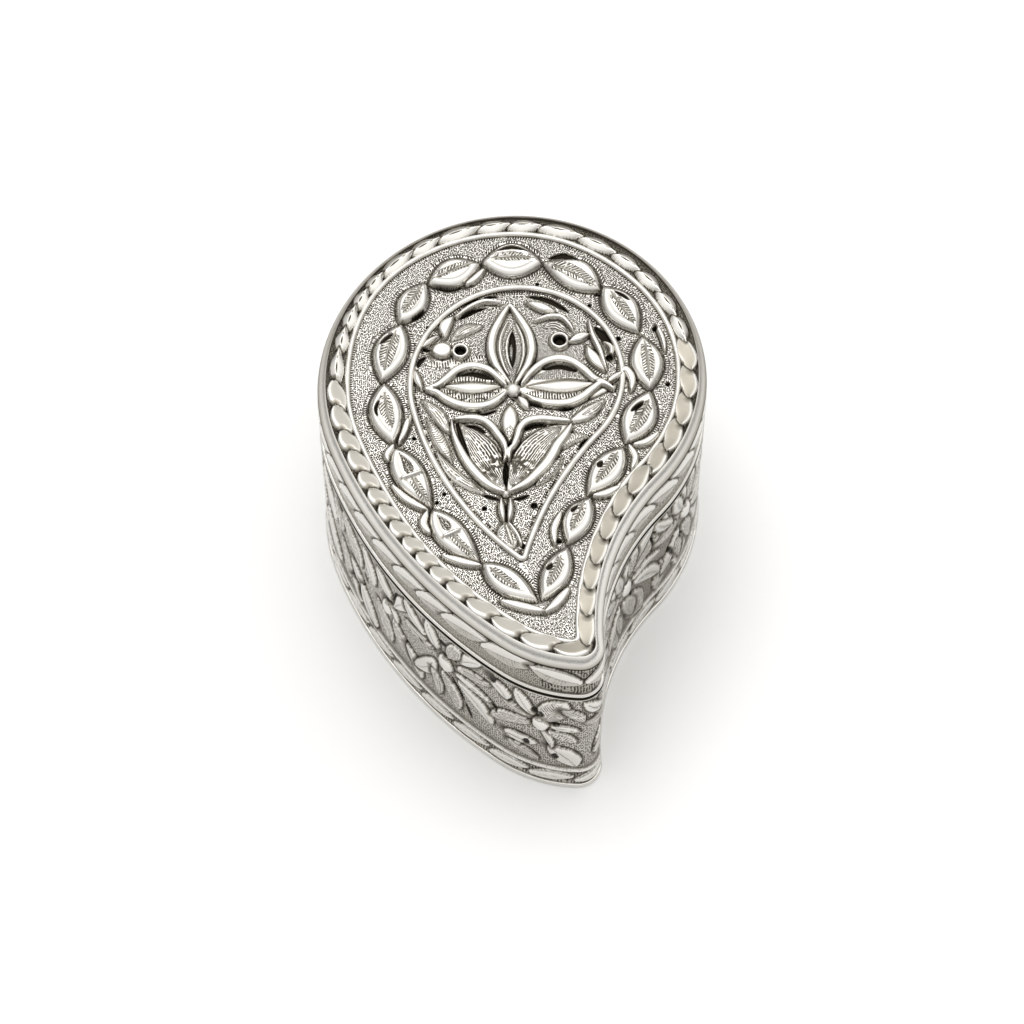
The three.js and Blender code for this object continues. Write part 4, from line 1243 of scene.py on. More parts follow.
hollow(medal, [(10.3, -3.8), (10.7, -2.2), (11.9, -1.0)], 0.4)
lobe(medal, [(3.6, -9.4), (5.8, -6.8), (7.6, -4.4)], 0.8, 0.9, 0.5, ink=0.6)
dotted(medal, [(3.8, -9.2), (5.8, -6.8), (7.4, -4.6)], 0.65, 0.7)
medal.tell("side leaves")

# %% [markdown]
# A petal of the flower is a low pillow first. Its floor is then dotted or lined, a dark pocket is
# sunk in it, a smooth kernel is raised beside the pocket, and last a thick rounded rim is laid
# round it in two halves that meet at its point. The upper petal, the first one here, has fine
# ridges round its pocket, and the left and the right one follow.

# %% The flower
lobe(medal, [(-0.4, 22.2), (-0.1, 15.0), (0.0, 8.0)], 3.4, 3.4, 0.34, full=0.95, ink=0.9)
dotted(medal, [(-0.4, 21.8), (-0.1, 15.0), (0.0, 8.4)], 2.7, 2.7, full=0.95)
lines_across(medal, [(-1.4, 18.6), (-2.4, 14.6), (-1.2, 10.4)], 0.2, 0.9, 0.8)
ridge(medal, [(-0.7, 19.6), (-1.75, 16.8), (-1.9, 14.0), (-1.2, 11.2), (-0.5, 9.9)], 0.5, 0.7)
ridge(medal, [(0.5, 19.4), (1.55, 16.6), (1.75, 13.8), (1.2, 11.2), (0.6, 9.8)], 0.4, 0.6)
ridge(medal, [(0.0, 18.2), (-0.75, 16.2), (-0.85, 14.2), (-0.5, 12.2), (0.0, 10.9)], 0.32, 0.5)
hollow(medal, [(0.0, 17.8), (0.0, 14.6), (0.0, 11.3)], 0.62, 0.62, 0.5)
lobe(medal, [(-0.15, 15.8), (-0.2, 14.2), (-0.1, 12.8)], 0.3, 0.24, 0.1, halo=0.1, ink=0.2)
dotted(medal, [(-0.15, 15.8), (-0.2, 14.2), (-0.1, 12.8)], 0.3, 0.24)
ridge(medal, [(-0.4, 22.5), (-1.7, 20.2), (-2.95, 17.3), (-3.25, 14.4), (-2.6, 11.8), (-1.4, 9.6),
              (-0.4, 8.2)], 1.45, 1.1, full=0.3)
ridge(medal, [(-0.4, 22.5), (1.0, 20.3), (2.55, 17.3), (3.0, 14.4), (2.45, 11.8), (1.3, 9.6),
              (0.5, 8.2)], 1.45, 1.1, full=0.3)

lobe(medal, [(-13.0, 7.2), (-6.4, 7.8), (-0.4, 7.4)], 3.3, 3.3, 0.25, full=0.95, ink=0.9)
lines_across(medal, [(-11.6, 7.4), (-6.2, 7.8), (-1.2, 7.6)], 2.6, 3.0, 0.95, full=0.9)
hollow(medal, [(-8.6, 9.8), (-6.2, 10.3), (-2.8, 9.2)], 0.75, 0.6, 0.5)
lobe(medal, [(-10.6, 8.0), (-6.0, 7.7), (-1.6, 8.0)], 0.95, 0.95, 0.75, edge=0.9, full=1.0)
ridge(medal, [(-0.9, 7.8), (-2.1, 9.3), (-3.9, 10.9), (-6.2, 11.5), (-8.4, 10.8), (-10.1, 9.2),
              (-11.6, 7.9), (-13.4, 7.2)], 1.4, 1.1)
ridge(medal, [(-13.4, 7.2), (-11.6, 6.7), (-10.2, 5.6), (-8.2, 4.6), (-6.0, 4.2), (-3.8, 4.5),
              (-2.1, 5.5), (-0.8, 6.8)], 1.4, 1.1)
hollow(medal, [(-5.6, 3.4), (-4.0, 3.2), (-2.2, 3.9)], 0.28)

lobe(medal, [(0.6, 7.4), (8.0, 8.2), (15.2, 7.7)], 4.2, 3.3, 0.25, full=0.95, ink=0.9)
dotted(medal, [(2.6, 9.2), (7.6, 10.2), (12.4, 9.0)], 0.9, 0.9)
lines_across(medal, [(2.0, 6.8), (8.0, 6.6), (12.8, 7.6)], 0.9, 1.5, 0.95, full=0.9)
hollow(medal, [(4.6, 11.0), (7.3, 11.7), (10.0, 10.7)], 0.72, 0.68, 0.5, full=0.45)
lobe(medal, [(2.4, 7.9), (8.2, 8.0), (13.4, 8.5)], 1.05, 1.05, 0.75, edge=0.9, full=1.0)
ridge(medal, [(1.4, 8.0), (2.8, 10.2), (4.7, 12.0), (6.9, 12.8), (9.0, 12.4), (10.9, 11.0),
              (12.6, 9.2), (14.0, 8.5), (15.7, 7.2)], 1.4, 1.1)
ridge(medal, [(1.3, 6.5), (3.5, 5.3), (6.0, 4.8), (8.6, 4.9), (10.7, 5.9), (12.4, 7.4),
              (13.9, 8.4), (15.7, 7.2)], 1.4, 1.1)
hollow(medal, [(2.4, 5.2), (3.4, 4.7), (4.6, 4.4)], 0.25)
hollow(medal, [(6.7, 4.0), (8.0, 3.9), (9.6, 4.2)], 0.28)
medal.tell("flower")

# %% [markdown]
# The bud hangs from the boss. The two curling leaves are made as the petals are, but their floors
# flow with long lines, and each has a broad rim outside and a narrower one inside. The two inner
# rims meet over a black slit. The stem below ends in a small dotted leaf.

# %% The bud, the curling leaves and the stem
lobe(medal, [(-0.3, 4.6), (-0.4, 1.4), (-0.4, -1.9)], 1.25, 1.25, 0.7, edge=0.8, widest=0.45)
dotted(medal, [(-0.35, 0.8), (-0.4, -0.4), (-0.4, -1.8)], 0.7, 0.7, 0.7)
lobe(medal, [(0.8, 6.1), (1.8, 5.1), (2.5, 3.9)], 0.75, 0.75, 0.75, edge=0.7, full=0.6)
hollow(medal, [(-0.3, 6.0), (0.1, 5.7), (0.5, 5.3)], 0.16)

lobe(medal, [(-8.8, 1.8), (-6.2, -3.0), (-1.2, -10.6)], 3.4, 1.9, 0.22, full=0.8, ink=0.9)
lines_along(medal, [(-8.0, 1.2), (-5.6, -2.6), (-1.4, -9.8)], 2.8, 1.7, 0.9, pitch=1.15)
hollow(medal, [(-8.6, 1.9), (-7.9, -1.0), (-6.3, -5.2)], 0.46, 0.3, 0.5, widest=0.3)
hollow(medal, [(-7.2, 1.0), (-5.6, 0.75), (-4.0, -0.2)], 0.42)
ridge(medal, [(-8.8, 1.9), (-6.6, 2.2), (-4.6, 1.9), (-3.2, 0.8), (-2.2, -0.7), (-1.3, -2.2),
              (-0.9, -3.8), (-1.2, -5.4)], 1.25, 1.05, widest=0.45)
ridge(medal, [(-9.3, 2.0), (-9.0, -0.4), (-8.1, -3.0), (-6.7, -5.8), (-4.9, -8.2), (-3.0, -9.9),
              (-0.9, -11.0)], 1.5, 1.05, widest=0.6, full=0.45)

lobe(medal, [(8.7, 1.5), (4.6, -3.0), (-0.6, -10.6)], 1.9, 3.2, 0.22, full=0.8, ink=0.9)
lines_along(medal, [(7.6, 0.8), (3.8, -3.0), (-0.2, -9.8)], 1.7, 2.7, 0.9, pitch=1.15)
hollow(medal, [(1.7, 0.2), (3.4, 1.0), (5.4, 1.2)], 0.4)
ridge(medal, [(8.9, 1.6), (6.6, 1.9), (4.2, 2.1), (2.2, 1.6), (1.2, 0.4), (0.8, -1.0), (0.3, -2.4),
              (-0.4, -3.6), (-0.5, -5.2)], 1.25, 1.05, widest=0.45)
ridge(medal, [(9.1, 1.0), (8.0, -0.9), (6.9, -2.5), (6.1, -4.2), (5.1, -5.9), (3.6, -7.7),
              (2.1, -9.2), (-0.6, -10.9)], 1.7, 1.05, widest=0.45, full=0.45)
hollow(medal, [(-0.95, -5.2), (-0.98, -7.4), (-1.0, -9.6)], 0.5)
hollow(medal, [(-0.35, -1.9), (-0.4, -2.4), (-0.5, -3.0)], 0.4)
hollow(medal, [(-4.6, -11.0), (-3.2, -11.5), (-1.8, -11.9)], 0.36)
hollow(medal, [(0.1, -11.8), (1.4, -11.6), (2.6, -11.0)], 0.34)
lobe(medal, [(-1.7, -11.6), (-1.7, -13.8), (-1.2, -16.2)], 0.62, 0.45, 0.85, edge=0.5, full=0.5)
lobe(medal, [(-0.3, -11.6), (-0.2, -13.8), (-0.6, -16.2)], 0.45, 0.55, 0.85, edge=0.5, full=0.5)
hollow(medal, [(-0.88, -13.2), (-0.9, -14.6), (-0.85, -15.8)], 0.13)
lobe(medal, [(-0.9, -15.8), (-0.7, -17.8), (0.2, -20.2)], 1.7, 1.7, 0.4, full=0.7)
dotted(medal, [(-0.9, -16.4), (-0.7, -17.9), (0.0, -19.8)], 1.4, 1.4, 0.9)
ridge(medal, [(-1.0, -16.2), (-0.5, -17.8), (0.1, -19.8)], 0.3, 0.6)
ridge(medal, [(-0.6, -15.9), (0.7, -17.9), (1.5, -20.0)], 0.55, 0.7)
hollow(medal, [(1.5, -19.4), (1.7, -19.9), (1.7, -20.4)], 0.3)
hollow(medal, [(0.6, -21.0), (1.1, -21.3), (1.5, -21.3)], 0.3)
pit(medal, 3.3, -12.9, 0.5)
pit(medal, -4.2, -13.4, 0.36)
settle_soot(medal, reach=3, strength=2.4)
medal.tell("whole medallion")

# %% [markdown]
# ## Cutting the medallion out
# The square grid is now cut like sheet metal along the drop: the points outside it go, the edge
# that is left is pulled straight down to the underside of the lid, and the bottom is closed.

# %% Cutting the medallion out of its sheet
medal_points = np.stack([medal.x, medal.y, ground_z + medal.height], -1)
medal_piece = grid_mesh("lid_medallion_sheet", medal_points, carried(medal), closed=False)
bpy.ops.object.mode_set(mode="EDIT")
bpy.ops.mesh.select_mode(type="VERT")
shape = bmesh.from_edit_mesh(medal_piece.data)
for vertex, depth in zip(shape.verts, inside_medal.ravel()):
    vertex.select = bool(depth < 0)
shape.select_flush_mode()
bmesh.update_edit_mesh(medal_piece.data)
bpy.ops.mesh.delete(type="VERT")
bpy.ops.mesh.select_all(action="SELECT")
bpy.ops.mesh.region_to_loop()
bpy.ops.mesh.extrude_edges_move()
shape = bmesh.from_edit_mesh(medal_piece.data)
for vertex in shape.verts:
    if vertex.select:
        vertex.co.z = lid_underside * MM
bpy.ops.mesh.edge_face_add()
bmesh.update_edit_mesh(medal_piece.data)
bpy.ops.object.mode_set(mode="OBJECT")
dress(medal_piece, "chased_silver", "lid", ["lid_top"])

# %% [markdown]
# ## The two raised lines
# One bright line parts the border from the garland, and the other runs round the medallion. They
# are chased on the real sheet, but wires half sunk in it look the same and hide the edges of the
# three sheets. The outer one is bent on the even lane first, and then each of its points moves as
# far as the hand-drawn lane does there.

# %% The two raised lines
def line_soot(p):
    """Black where the line meets the ground, and unevenly rubbed along its top."""
    rubbed = np.sin(p[:, 0] * 0.8 + p[:, 1] * 0.5) ** 2
    return 0.03 + 0.16 * rubbed + 0.8 * (p[:, 2] < ground_z + 0.12)


outer_line = drawn_wire("lid_outer_line", OUTLINE, LINE_INSET, ground_z + 0.05, wide=0.88,
                        high=1.05)
with_soot_and_shade(outer_line, line_soot)
for vertex in outer_line.data.vertices:
    column = np.argmin(np.hypot(*(even_lane - np.array(vertex.co[:2]) / MM).T))
    shift = (line_lane[column] - even_lane[column]) * MM
    vertex.co.x += shift[0]
    vertex.co.y += shift[1]
dress(outer_line, "polished_silver", "lid")
inner_line = drawn_wire("lid_medallion_line", MEDALLION, 0.0, ground_z + 0.1, wide=0.98, high=1.15)
dress(with_soot_and_shade(inner_line, line_soot), "polished_silver", "lid")

# %% [markdown]
# ## The boss and the bead
# The boss in the middle of the flower and the bead on the stem are the brightest points of the
# lid. They are punched up from behind, so a low dome that sits in the sheet is right for both.

# %% The boss and the bead
def dome(name, x, y, r, rise):
    bpy.ops.object.select_all(action="DESELECT")
    bpy.ops.mesh.primitive_uv_sphere_add(segments=48, ring_count=24, radius=r * MM,
                                         location=(x * MM, y * MM, (ground_z + 0.15) * MM))
    bpy.context.object.scale.z = rise / r
    piece = settle(name)
    bpy.ops.object.shade_smooth()
    dress(with_soot_and_shade(piece, lambda p: 0.9 * (p[:, 2] < ground_z + 0.3)), "polished_silver", "lid")


dome("flower_boss", 0.12, 7.25, r=1.22, rise=1.15)
dome("stem_bead", -0.95, -11.15, r=0.62, rise=0.95)

# %% [markdown]
# ## The walls
# The skirt of the lid and the wall of the body are strips of sheet, worked flat and then bent
# round the drop. So they are drawn flat here too: one direction is the length round the box, which
# is 0 at the tip and grows anticlockwise, and the other is the height. The ends of the strip lie
# at the back of the head. Each length is negative on the swept flank that faces the camera, where
# the grid is finer.

# %% A wall as a grid
wall_line = OUTLINE.lane(0, OUTLINE.steps(0, 0.05))
wall_marks = length_along(wall_line)
tip_mark = wall_marks[np.argmin(wall_line[:, 1] - 0.2 * wall_line[:, 0])]
ROUND = wall_marks[-1]
WALL_START = -0.62 * ROUND
WALL_END = WALL_START + ROUND
FINE_FROM, FINE_TO = -62, 12
LONGEST_FORM = 12
print(f"length round the outline {ROUND:.1f} mm, tip at {tip_mark:.1f} mm")


def wall_sheet(low, high, fine, coarse, pitch_z):
    """A strip once round the box, with a finer grid on the flank that faces the camera."""
    ends = (WALL_START, FINE_FROM, FINE_TO, WALL_END)
    runs = [np.linspace(a, b, int((b - a) / pitch), endpoint=False)
            for a, b, pitch in zip(ends, ends[1:], (coarse, fine, coarse))]
    rows = np.linspace(low, high, int((high - low) / pitch_z) + 1)
    return Sheet(*np.meshgrid(np.concatenate(runs + [ends[-1:]]), rows))


def round_again(forms, places):
    """The forms, and those that cross an end of the strip once more at its other end. places says
    which numbers of a form are lengths round the box."""
    again = []
    for form in forms:
        for turn in (-ROUND, ROUND):
            moved = [value + turn if i in places else value for i, value in enumerate(form)]
            lengths = [moved[i] for i in places]
            if min(lengths) < WALL_END + LONGEST_FORM and max(lengths) > WALL_START - LONGEST_FORM:
                again.append(tuple(moved))
    return again + forms


# %% [markdown]
# When a strip is bent, its ends meet at the back. Soldered silver shows no gap there, so the last
# column takes over the first one's values. The place of a point is found by walking its length
# along the outline, and then stepping inwards or outwards, square to it, by its inset.

# %% Bending a worked strip
def on_wall(s, inset):
    """Places round the outline, moved in by an inset."""
    step = 0.02
    here = at_length(wall_line, wall_marks, s + tip_mark)
    ahead = at_length(wall_line, wall_marks, s + tip_mark + step)
    behind = at_length(wall_line, wall_marks, s + tip_mark - step)
    run = ahead - behind
    run = run / np.hypot(run[..., 0], run[..., 1])[..., None]
    out = np.stack([run[..., 1], -run[..., 0]], -1)
    return here - out * np.asarray(inset)[..., None]


def wall_piece(name, sheet, inset, body, node):
    """Joins the ends of a worked strip, bends it round the drop, and closes it behind."""
    for field in (sheet.height, sheet.soot, sheet.matted, sheet.hatch):
        field[:, -1] = field[:, 0]
    plan = on_wall(sheet.x, inset - sheet.height)
    front = np.concatenate([plan, sheet.y[..., None]], -1)
    inside = on_wall(sheet.x[0], np.full(sheet.x.shape[1], WALL))
    back = [at_height(inside, z) for z in (sheet.y[-1, 0], sheet.y[0, 0])]
    dress(grid_mesh(name, *with_back(sheet, front, back)), "chased_silver", body, [node])


# %% [markdown]
# ## The skirt of the lid
# Round the lid's side runs a chain of long leaves with a cut down the middle and a duller lower
# half. Each one rises towards the tip, but the two nearest to it fall, and meet low down right at
# the tip. A leaf is listed as the place and height where it starts, how far it runs and rises, and
# its width. The strip's top is dark, because it lies in the shade of the moulding, and so is its
# lower edge. The far leaves are struck first, so the nearer ones lap over them.

# %% The skirt of the lid
SKIRT_PITCH, SKIRT_COARSE = 0.15, 0.2
SKIRT_INSET = 0.3
STROKES_BY_TIP = 7
LEFT_OF_TIP, LEFT_PITCH = 20, 5.6
RIGHT_OF_TIP, RIGHT_PITCH = 11, 5.8
CHAIN = [(-8.6, 38.4, 8.4, -2.8, 4.6), (-17.4, 36.2, 10.0, 2.7, 4.9), (-25.4, 35.8, 9.8, 2.9, 4.7),
         (8.4, 38.4, -8.4, -2.8, 4.6), (16.4, 36.0, -9.4, 2.8, 4.7)]
CHAIN += [(-25.4 - LEFT_PITCH * i, 35.2, 8.8, 3.4, 4.4) for i in range(1, LEFT_OF_TIP + 1)]
CHAIN += [(16.4 + RIGHT_PITCH * i, 35.4, -8.8, 3.2, 4.4) for i in range(1, RIGHT_OF_TIP + 1)]

skirt = wall_sheet(skirt_low, skirt_high, SKIRT_PITCH, SKIRT_COARSE, SKIRT_PITCH)
skirt.hatch = 1.0 * (np.abs(skirt.x) < STROKES_BY_TIP)
skirt.u, skirt.v = skirt.x * 0.85, skirt.y * 0.55
skirt.soot = np.clip(0.95 - (skirt_high - skirt.y) * 1.1, 0.42, 0.95)
skirt.soot += np.clip(0.5 - (skirt.y - skirt_low) * 2, 0, 1)


def chain_leaf(s, low, run, rise, wide):
    spine = [(s, low), (s + run / 2, low + rise * 0.58), (s + run, low + rise)]
    spot, along, aside, t, inside, _ = lobe(skirt, spine, wide / 2, wide / 2, 0.42, edge=0.9,
                                            vein=0.16, halo=0.7, ink=1.0, full=0.7)
    lower = (aside * (1 if run > 0 else -1) < 0) & (inside > 0)
    skirt.darken(spot, 0.14 * (inside > 0) + 0.18 * lower)
    combed(skirt, spot, (inside > 0.25) & lower & (t > 0.3) & (t < 0.7), along * 0.8, 0.5)


for leaf in round_again(sorted(CHAIN, key=lambda leaf: -abs(leaf[0])), (0,)):
    chain_leaf(*leaf)
settle_soot(skirt, reach=2, strength=1.8)
skirt.height = np.maximum(skirt.height, -0.3)
wall_piece("lid_skirt_relief", skirt, SKIRT_INSET, "lid", "lid_skirt")

# %% [markdown]
# ## The wall of the body
# Along the foot runs a row of small leaves, and above it a thin raised line. Thirty leaves fill
# the way round exactly, so the row has no odd one at the back. A few more are struck past both
# ends of the strip, and the line runs past them too, so no form is cut off there. The whole wall
# starts a little dark, and the hollow flank darker, as painted shade on the side turned from the
# light.

# %% The wall of the body
BODY_PITCH, BODY_COARSE, BODY_PITCH_Z = 0.205, 0.3, 0.26
BODY_INSET = 0.3
BORDER_TOP = wall_low + 3.9
LINE_Z = BORDER_TOP + 0.5
FOOT_PITCH = ROUND / 30
HOLLOW_FLANK_FROM = 5
body = wall_sheet(wall_low, wall_high, BODY_PITCH, BODY_COARSE, BODY_PITCH_Z)
body.hatch = 1.0 * (body.y < BORDER_TOP)
body.u, body.v = body.x * 0.8, body.y * 0.5
# painted shade: darker on the hollow flank, which is turned from the light
body.soot = 0.27 + 0.3 * (body.x > HOLLOW_FLANK_FROM)
body.soot = body.soot + 0.5 * np.clip(1 - np.abs(body.y - BORDER_TOP + 0.2) / 0.5, 0, 1)
for i in range(-20, 13):
    s = i * FOOT_PITCH - 1.4
    lobe(body, [(s, 1.9), (s + 3.6, 3.0), (s + 7.6, 3.2)], 1.25, 1.35, 0.5, edge=0.8, vein=0.1,
         halo=0.45, ink=0.9)
ridge(body, [(WALL_START - 9, LINE_Z), (0, LINE_Z), (WALL_END + 9, LINE_Z)], 0.9, 0.45, full=0.01)
body.tell("foot border")

# %% [markdown]
# The frieze is drawn leaf by leaf: where each leaf starts, where it ends, how wide it is, how far
# it bows to its left, and whether it stays smooth (s), is lined along (l), has a fern of cuts (f)
# or is hatched across (h). NEAR_TIP and LEFT are the leaves that the photograph shows from close
# by, and RIGHT those of the hollow flank, which it shows at a slant. FLOWER is one whole flower,
# drawn from its boss. It stands on the left flank, as in the photograph, and at an even pitch along
# the hollow flank and round the back, which the photograph doesn't show.

# %% The leaves of the frieze
NEAR_TIP = [
    (-13.0, 12.4, -7.2, 12.7, 3.0, 0.0, "s"), (-8.0, 19.4, -15.6, 14.6, 3.0, -0.9, "l"),
    (-7.6, 21.6, -14.0, 24.0, 2.0, 0.6, "l"), (-15.8, 27.6, -12.2, 23.6, 3.0, 0.5, "s"),
    (-7.8, 22.0, -10.8, 28.8, 2.6, 0.4, "s"), (-5.4, 19.7, -0.4, 19.2, 2.0, 0.3, "s"),
    (-5.6, 17.7, -1.0, 15.3, 2.6, 0.3, "h"), (-5.4, 12.8, -0.8, 6.8, 4.4, 0.5, "s"),
    (-6.6, 17.9, -4.8, 12.6, 1.3, 0.3, "s"), (-6.3, 21.3, -3.0, 28.9, 4.7, 0.0, "f"),
    (-3.4, 26.0, 0.2, 22.4, 2.4, 0.5, "l"), (-12.5, 9.6, -7.0, 7.2, 2.2, 0.5, "l"),
]
LEFT = [
    (-62.4, 27.4, -56.4, 18.6, 4.2, 0.9, "s"), (-60.8, 16.4, -55.0, 7.4, 4.2, -0.8, "s"),
    (-52.8, 27.6, -46.8, 19.2, 4.2, 0.9, "l"), (-50.2, 17.0, -46.4, 12.4, 3.0, 0.3, "s"),
    (-46.6, 14.0, -42.4, 5.8, 3.8, -0.7, "s"), (-45.4, 28.4, -42.6, 19.6, 2.8, 0.4, "s"),
    (-41.2, 28.4, -37.2, 22.8, 3.0, -0.4, "s"), (-36.8, 21.8, -32.4, 28.6, 2.8, 0.4, "s"),
    (-41.8, 17.0, -38.4, 7.4, 3.2, 0.6, "l"), (-38.2, 21.0, -36.0, 17.4, 2.4, 0.0, "s"),
    (-37.2, 17.0, -31.6, 8.4, 3.6, -0.6, "h"), (-56.0, 28.0, -53.6, 20.0, 2.6, 0.5, "l"),
    (-54.0, 17.6, -51.6, 8.0, 3.0, 0.6, "l"), (-66.8, 26.6, -63.4, 17.0, 3.2, 0.6, "l"),
    (-66.4, 15.4, -62.6, 7.0, 3.4, -0.6, "s"), (-33.8, 14.0, -30.4, 7.0, 2.6, 0.4, "s"),
    (-50.4, 10.6, -47.4, 6.2, 2.2, 0.3, "s"),
]
RIGHT = [
    (9.6, 8.0, 12.4, 18.0, 4.2, 0.6, "s"), (14.0, 20.0, 11.0, 28.0, 4.2, 0.4, "s"),
    (17.6, 7.4, 18.6, 16.6, 4.2, 0.5, "l"), (19.6, 19.0, 21.0, 28.4, 4.0, 0.4, "s"),
    (24.3, 19.4, 28.0, 28.2, 4.4, 0.5, "s"), (30.2, 19.4, 32.4, 28.2, 3.6, 0.4, "s"),
    (24.2, 16.0, 23.0, 6.0, 3.6, -0.4, "l"), (35.2, 21.4, 36.7, 28.6, 4.0, 0.3, "f"),
    (40.4, 22.0, 42.6, 28.8, 3.2, 0.3, "s"), (36.2, 14.4, 35.2, 6.2, 3.0, 0.4, "h"),
    (46.8, 19.6, 48.6, 9.0, 4.0, 0.6, "s"), (43.4, 14.4, 40.6, 6.6, 4.6, 0.5, "s"),
    (28.4, 15.0, 31.4, 5.8, 5.2, -0.6, "f"), (3.0, 9.0, 6.4, 17.6, 3.4, 0.5, "s"),
    (5.6, 19.6, 3.4, 28.0, 3.4, 0.4, "l"),
]
FLOWER = [
    (-2.6, 1.2, -9.4, 1.6, 2.2, 0.5, "l"), (-2.4, -2.2, -7.2, -10.6, 3.2, 0.7, "s"),
    (-1.6, 2.6, -3.8, 9.2, 2.8, 0.4, "s"), (-4.4, 3.2, -9.2, 8.6, 2.6, 0.6, "s"),
    (2.4, 1.6, 9.2, 3.9, 2.4, 0.4, "l"), (2.0, -0.6, 9.6, -1.8, 2.0, 0.5, "s"),
    (2.6, -2.4, 9.6, -8.8, 3.4, 0.7, "s"), (3.0, 4.4, 7.4, 9.4, 2.8, 0.4, "s"),
    (-0.8, -3.6, 2.6, -12.4, 3.0, 0.6, "h"), (0.7, 2.8, 2.8, 8.9, 2.8, 0.0, "f"),
    (-3.0, -5.2, -1.6, -12.6, 2.2, 0.4, "l"),
]
FLOWERS = [-124.4, -107.3, -90.1, -73.0, 77.6, 60.5, 43.4, 26.3, 9.4, -24.7]
FLOWER_Z = 20.3
BOSSES = [(-6.8, 19.7, 1.35, 1.75), (-38.8, 18.6, 1.3, 1.6)]
BOSSES += [(s, FLOWER_Z, 1.5, 2.1) for s in FLOWERS]
print(len(NEAR_TIP + LEFT + RIGHT), "single leaves and", len(FLOWERS), "flowers in the frieze")

# %% [markdown]
# A leaf of the frieze is a veined pillow, and its style adds the strokes. A later leaf lies over
# an earlier one, so the single leaves of the flanks come first, then the flowers, and the leaves by
# the tip last. The bosses cover the points where the petals meet.

# %% Hammering the frieze
def frieze_leaf(s, z, to_s, to_z, wide, bow, style):
    run, rise = to_s - s, to_z - z
    length = math.hypot(run, rise)
    middle = ((s + to_s) / 2 - rise / length * bow, (z + to_z) / 2 + run / length * bow)
    spine = [(s, z), middle, (to_s, to_z)]
    spot, along, aside, t, inside, _ = lobe(body, spine, wide / 2, wide / 2, 0.4, edge=0.8,
                                            vein=0.16 if style in "sf" else 0.0, halo=0.7, ink=1.0,
                                            full=0.6)
    # every frieze leaf a little darker, and on the hollow flank more, as painted shade
    body.darken(spot, (0.13 + 0.12 * (s > HOLLOW_FLANK_FROM)) * (inside > 0))
    if style == "l":
        lines_along(body, spine, wide * 0.4, wide * 0.4, 0.6)
    if style == "f":
        row = (inside > 0.3) & (np.abs(aside) > 0.2) & (t > 0.15) & (t < 0.85)
        combed(body, spot, row, along * 0.7 - np.abs(aside) * 0.6, 0.75)
    if style == "h":
        combed(body, spot, inside > 0.4, along * 0.9, 0.7)


drawn_leaves = [(near + s, FLOWER_Z + z, near + to_s, FLOWER_Z + to_z, *rest)
                for near in FLOWERS for s, z, to_s, to_z, *rest in FLOWER]
for leaf in round_again(LEFT + RIGHT + drawn_leaves + NEAR_TIP, (0, 2)):
    frieze_leaf(*leaf)
for s, z, wide, high in BOSSES:
    lobe(body, [(s - 0.3, z + high), (s + 0.3, z - high)], wide, wide, 0.65, edge=1.2, full=0.5,
         ink=1.0, halo=0.7)

# %% [markdown]
# A few dark slots part the leaves, and four places are punched so deep that nothing shines in
# them. A real hole there would be lost between two leaves, so these four are low and flat, and
# painted black as the shade of a deep hole.
# Then the tarnish settles, and the foot is spread a little, as on the real wall.

# %% Slots and black places
SLOTS = [
    ((-8.2, 24.6), (-6.8, 22.4), 0.4), ((-5.2, 20.6), (-3.6, 20.9), 0.3),
    ((-25.7, 26.8), (-24.9, 25.2), 0.5), ((-23.4, 24.0), (-22.6, 22.8), 0.35),
    ((-23.8, 17.6), (-20.8, 12.2), 0.32), ((-20.8, 12.2), (-19.4, 8.0), 0.3),
    ((-36.2, 27.2), (-37.0, 22.2), 0.3), ((-49.2, 12.0), (-46.2, 6.4), 0.3),
    ((-45.9, 18.8), (-45.0, 16.8), 0.32), ((33.4, 25.2), (33.9, 20.3), 0.35),
    ((38.0, 16.2), (39.6, 11.8), 0.35), ((17.4, 18.8), (18.4, 15.0), 0.45),
    ((49.6, 24.4), (51.0, 20.6), 0.4), ((-15.8, 18.8), (-14.2, 17.2), 0.35),
    ((-30.4, 21.6), (-28.6, 19.8), 0.35),
]
BLACK_PLACES = [(-15.2, 27.7, 0.85, 1.2), (-9.0, 12.3, 0.6, 1.1), (-4.4, 9.9, 0.6, 1.1),
                (-6.7, 23.4, 0.5, 1.0)]
FOOT_SPREAD, SPREAD_BELOW = 0.2, 3.9
for a, b, wide in SLOTS:
    hollow(body, [a, b], wide * 1.6, deep=0.2, full=0.5)
for s, z, wide, high in BLACK_PLACES:
    # painted shade: a black spot stands in for the shade of a deep hole
    black = np.hypot((body.x - s) / wide, (body.y - z) / high) < 1
    body.height[black], body.soot[black], body.matted[black] = 0.1, 1.0, 0.0
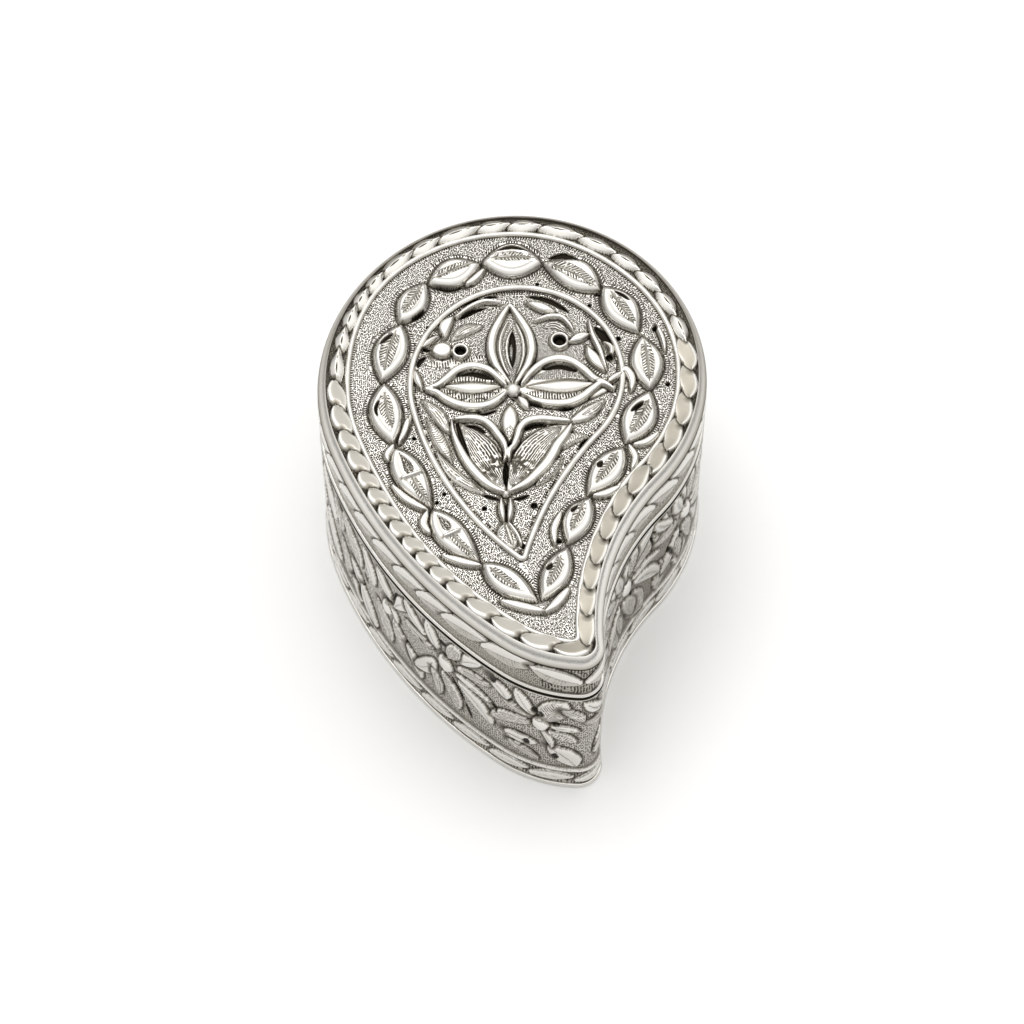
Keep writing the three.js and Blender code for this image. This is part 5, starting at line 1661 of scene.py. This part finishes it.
settle_soot(body, reach=2, strength=1.5)
body.height = np.maximum(body.height, -0.4)
body.height += FOOT_SPREAD * np.clip(1 - (body.y - wall_low) / SPREAD_BELOW, 0, 1)
wall_piece("body_wall_relief", body, BODY_INSET, "box", "body_wall")

# %% [markdown]
# ## The floor
# The box stands on a plain white table without an edge in sight. A large plane is enough, a little
# rough, so that it shows only a soft shadow.

# %% Floor
bpy.ops.object.select_all(action="DESELECT")
bpy.ops.mesh.primitive_plane_add(size=1.6, location=(0, 0, 0))
floor = settle("floor")
floor_paint = Paint("white_table")
floor.data.materials.append(floor_paint.wear(Base_Color=(0.91, 0.91, 0.91, 1), Roughness=0.7))

# %% [markdown]
# ## The light
# The photograph has soft light from all round, a little stronger from above and behind. A
# mirror-like metal shows only what is around it, so the room is white overhead and grey towards
# the horizon: the tops of the leaves catch the white and their sides the grey. One large soft
# lamp adds the sparkle.

# %% Light
WINDOW = (0.10, 0.36, 0.93)
ROOM_LIGHT = 1.45
LAMP_AT, LAMP_AIM = (-0.16, 0.26, 0.95), (0, 0, 0.03)
LAMP_SIZE, LAMP_POWER = 0.5, 1.6

room = Paint("soft_room", "worlds", "Background")
direction = room.node("TexCoord", out="Generated")
height = room.node("SeparateXYZ", {0: direction}, out="Z")
window = room.node("VectorMath", {0: direction, 1: WINDOW}, out="Value", operation="DOT_PRODUCT")
glow = height.between(-0.15, 0.75) * 0.60 + window.between(0.35, 0.98) * 0.32 + 0.13
shade = room.mix(glow.smaller(1.0), (0, 0, 0, 1), (1.0, 0.995, 0.98, 1))
bpy.context.scene.world = room.wear(Color=shade, Strength=ROOM_LIGHT)

lamp_data = bpy.data.lights.new("key", "AREA")
lamp_data.shape = "DISK"
lamp_data.size = LAMP_SIZE
lamp_data.energy = LAMP_POWER
lamp = bpy.data.objects.new("key", lamp_data)
bpy.context.scene.collection.objects.link(lamp)
look(lamp, LAMP_AT, LAMP_AIM)

bpy.context.scene.view_settings.view_transform = "Standard"
bpy.context.scene.view_settings.look = "None"
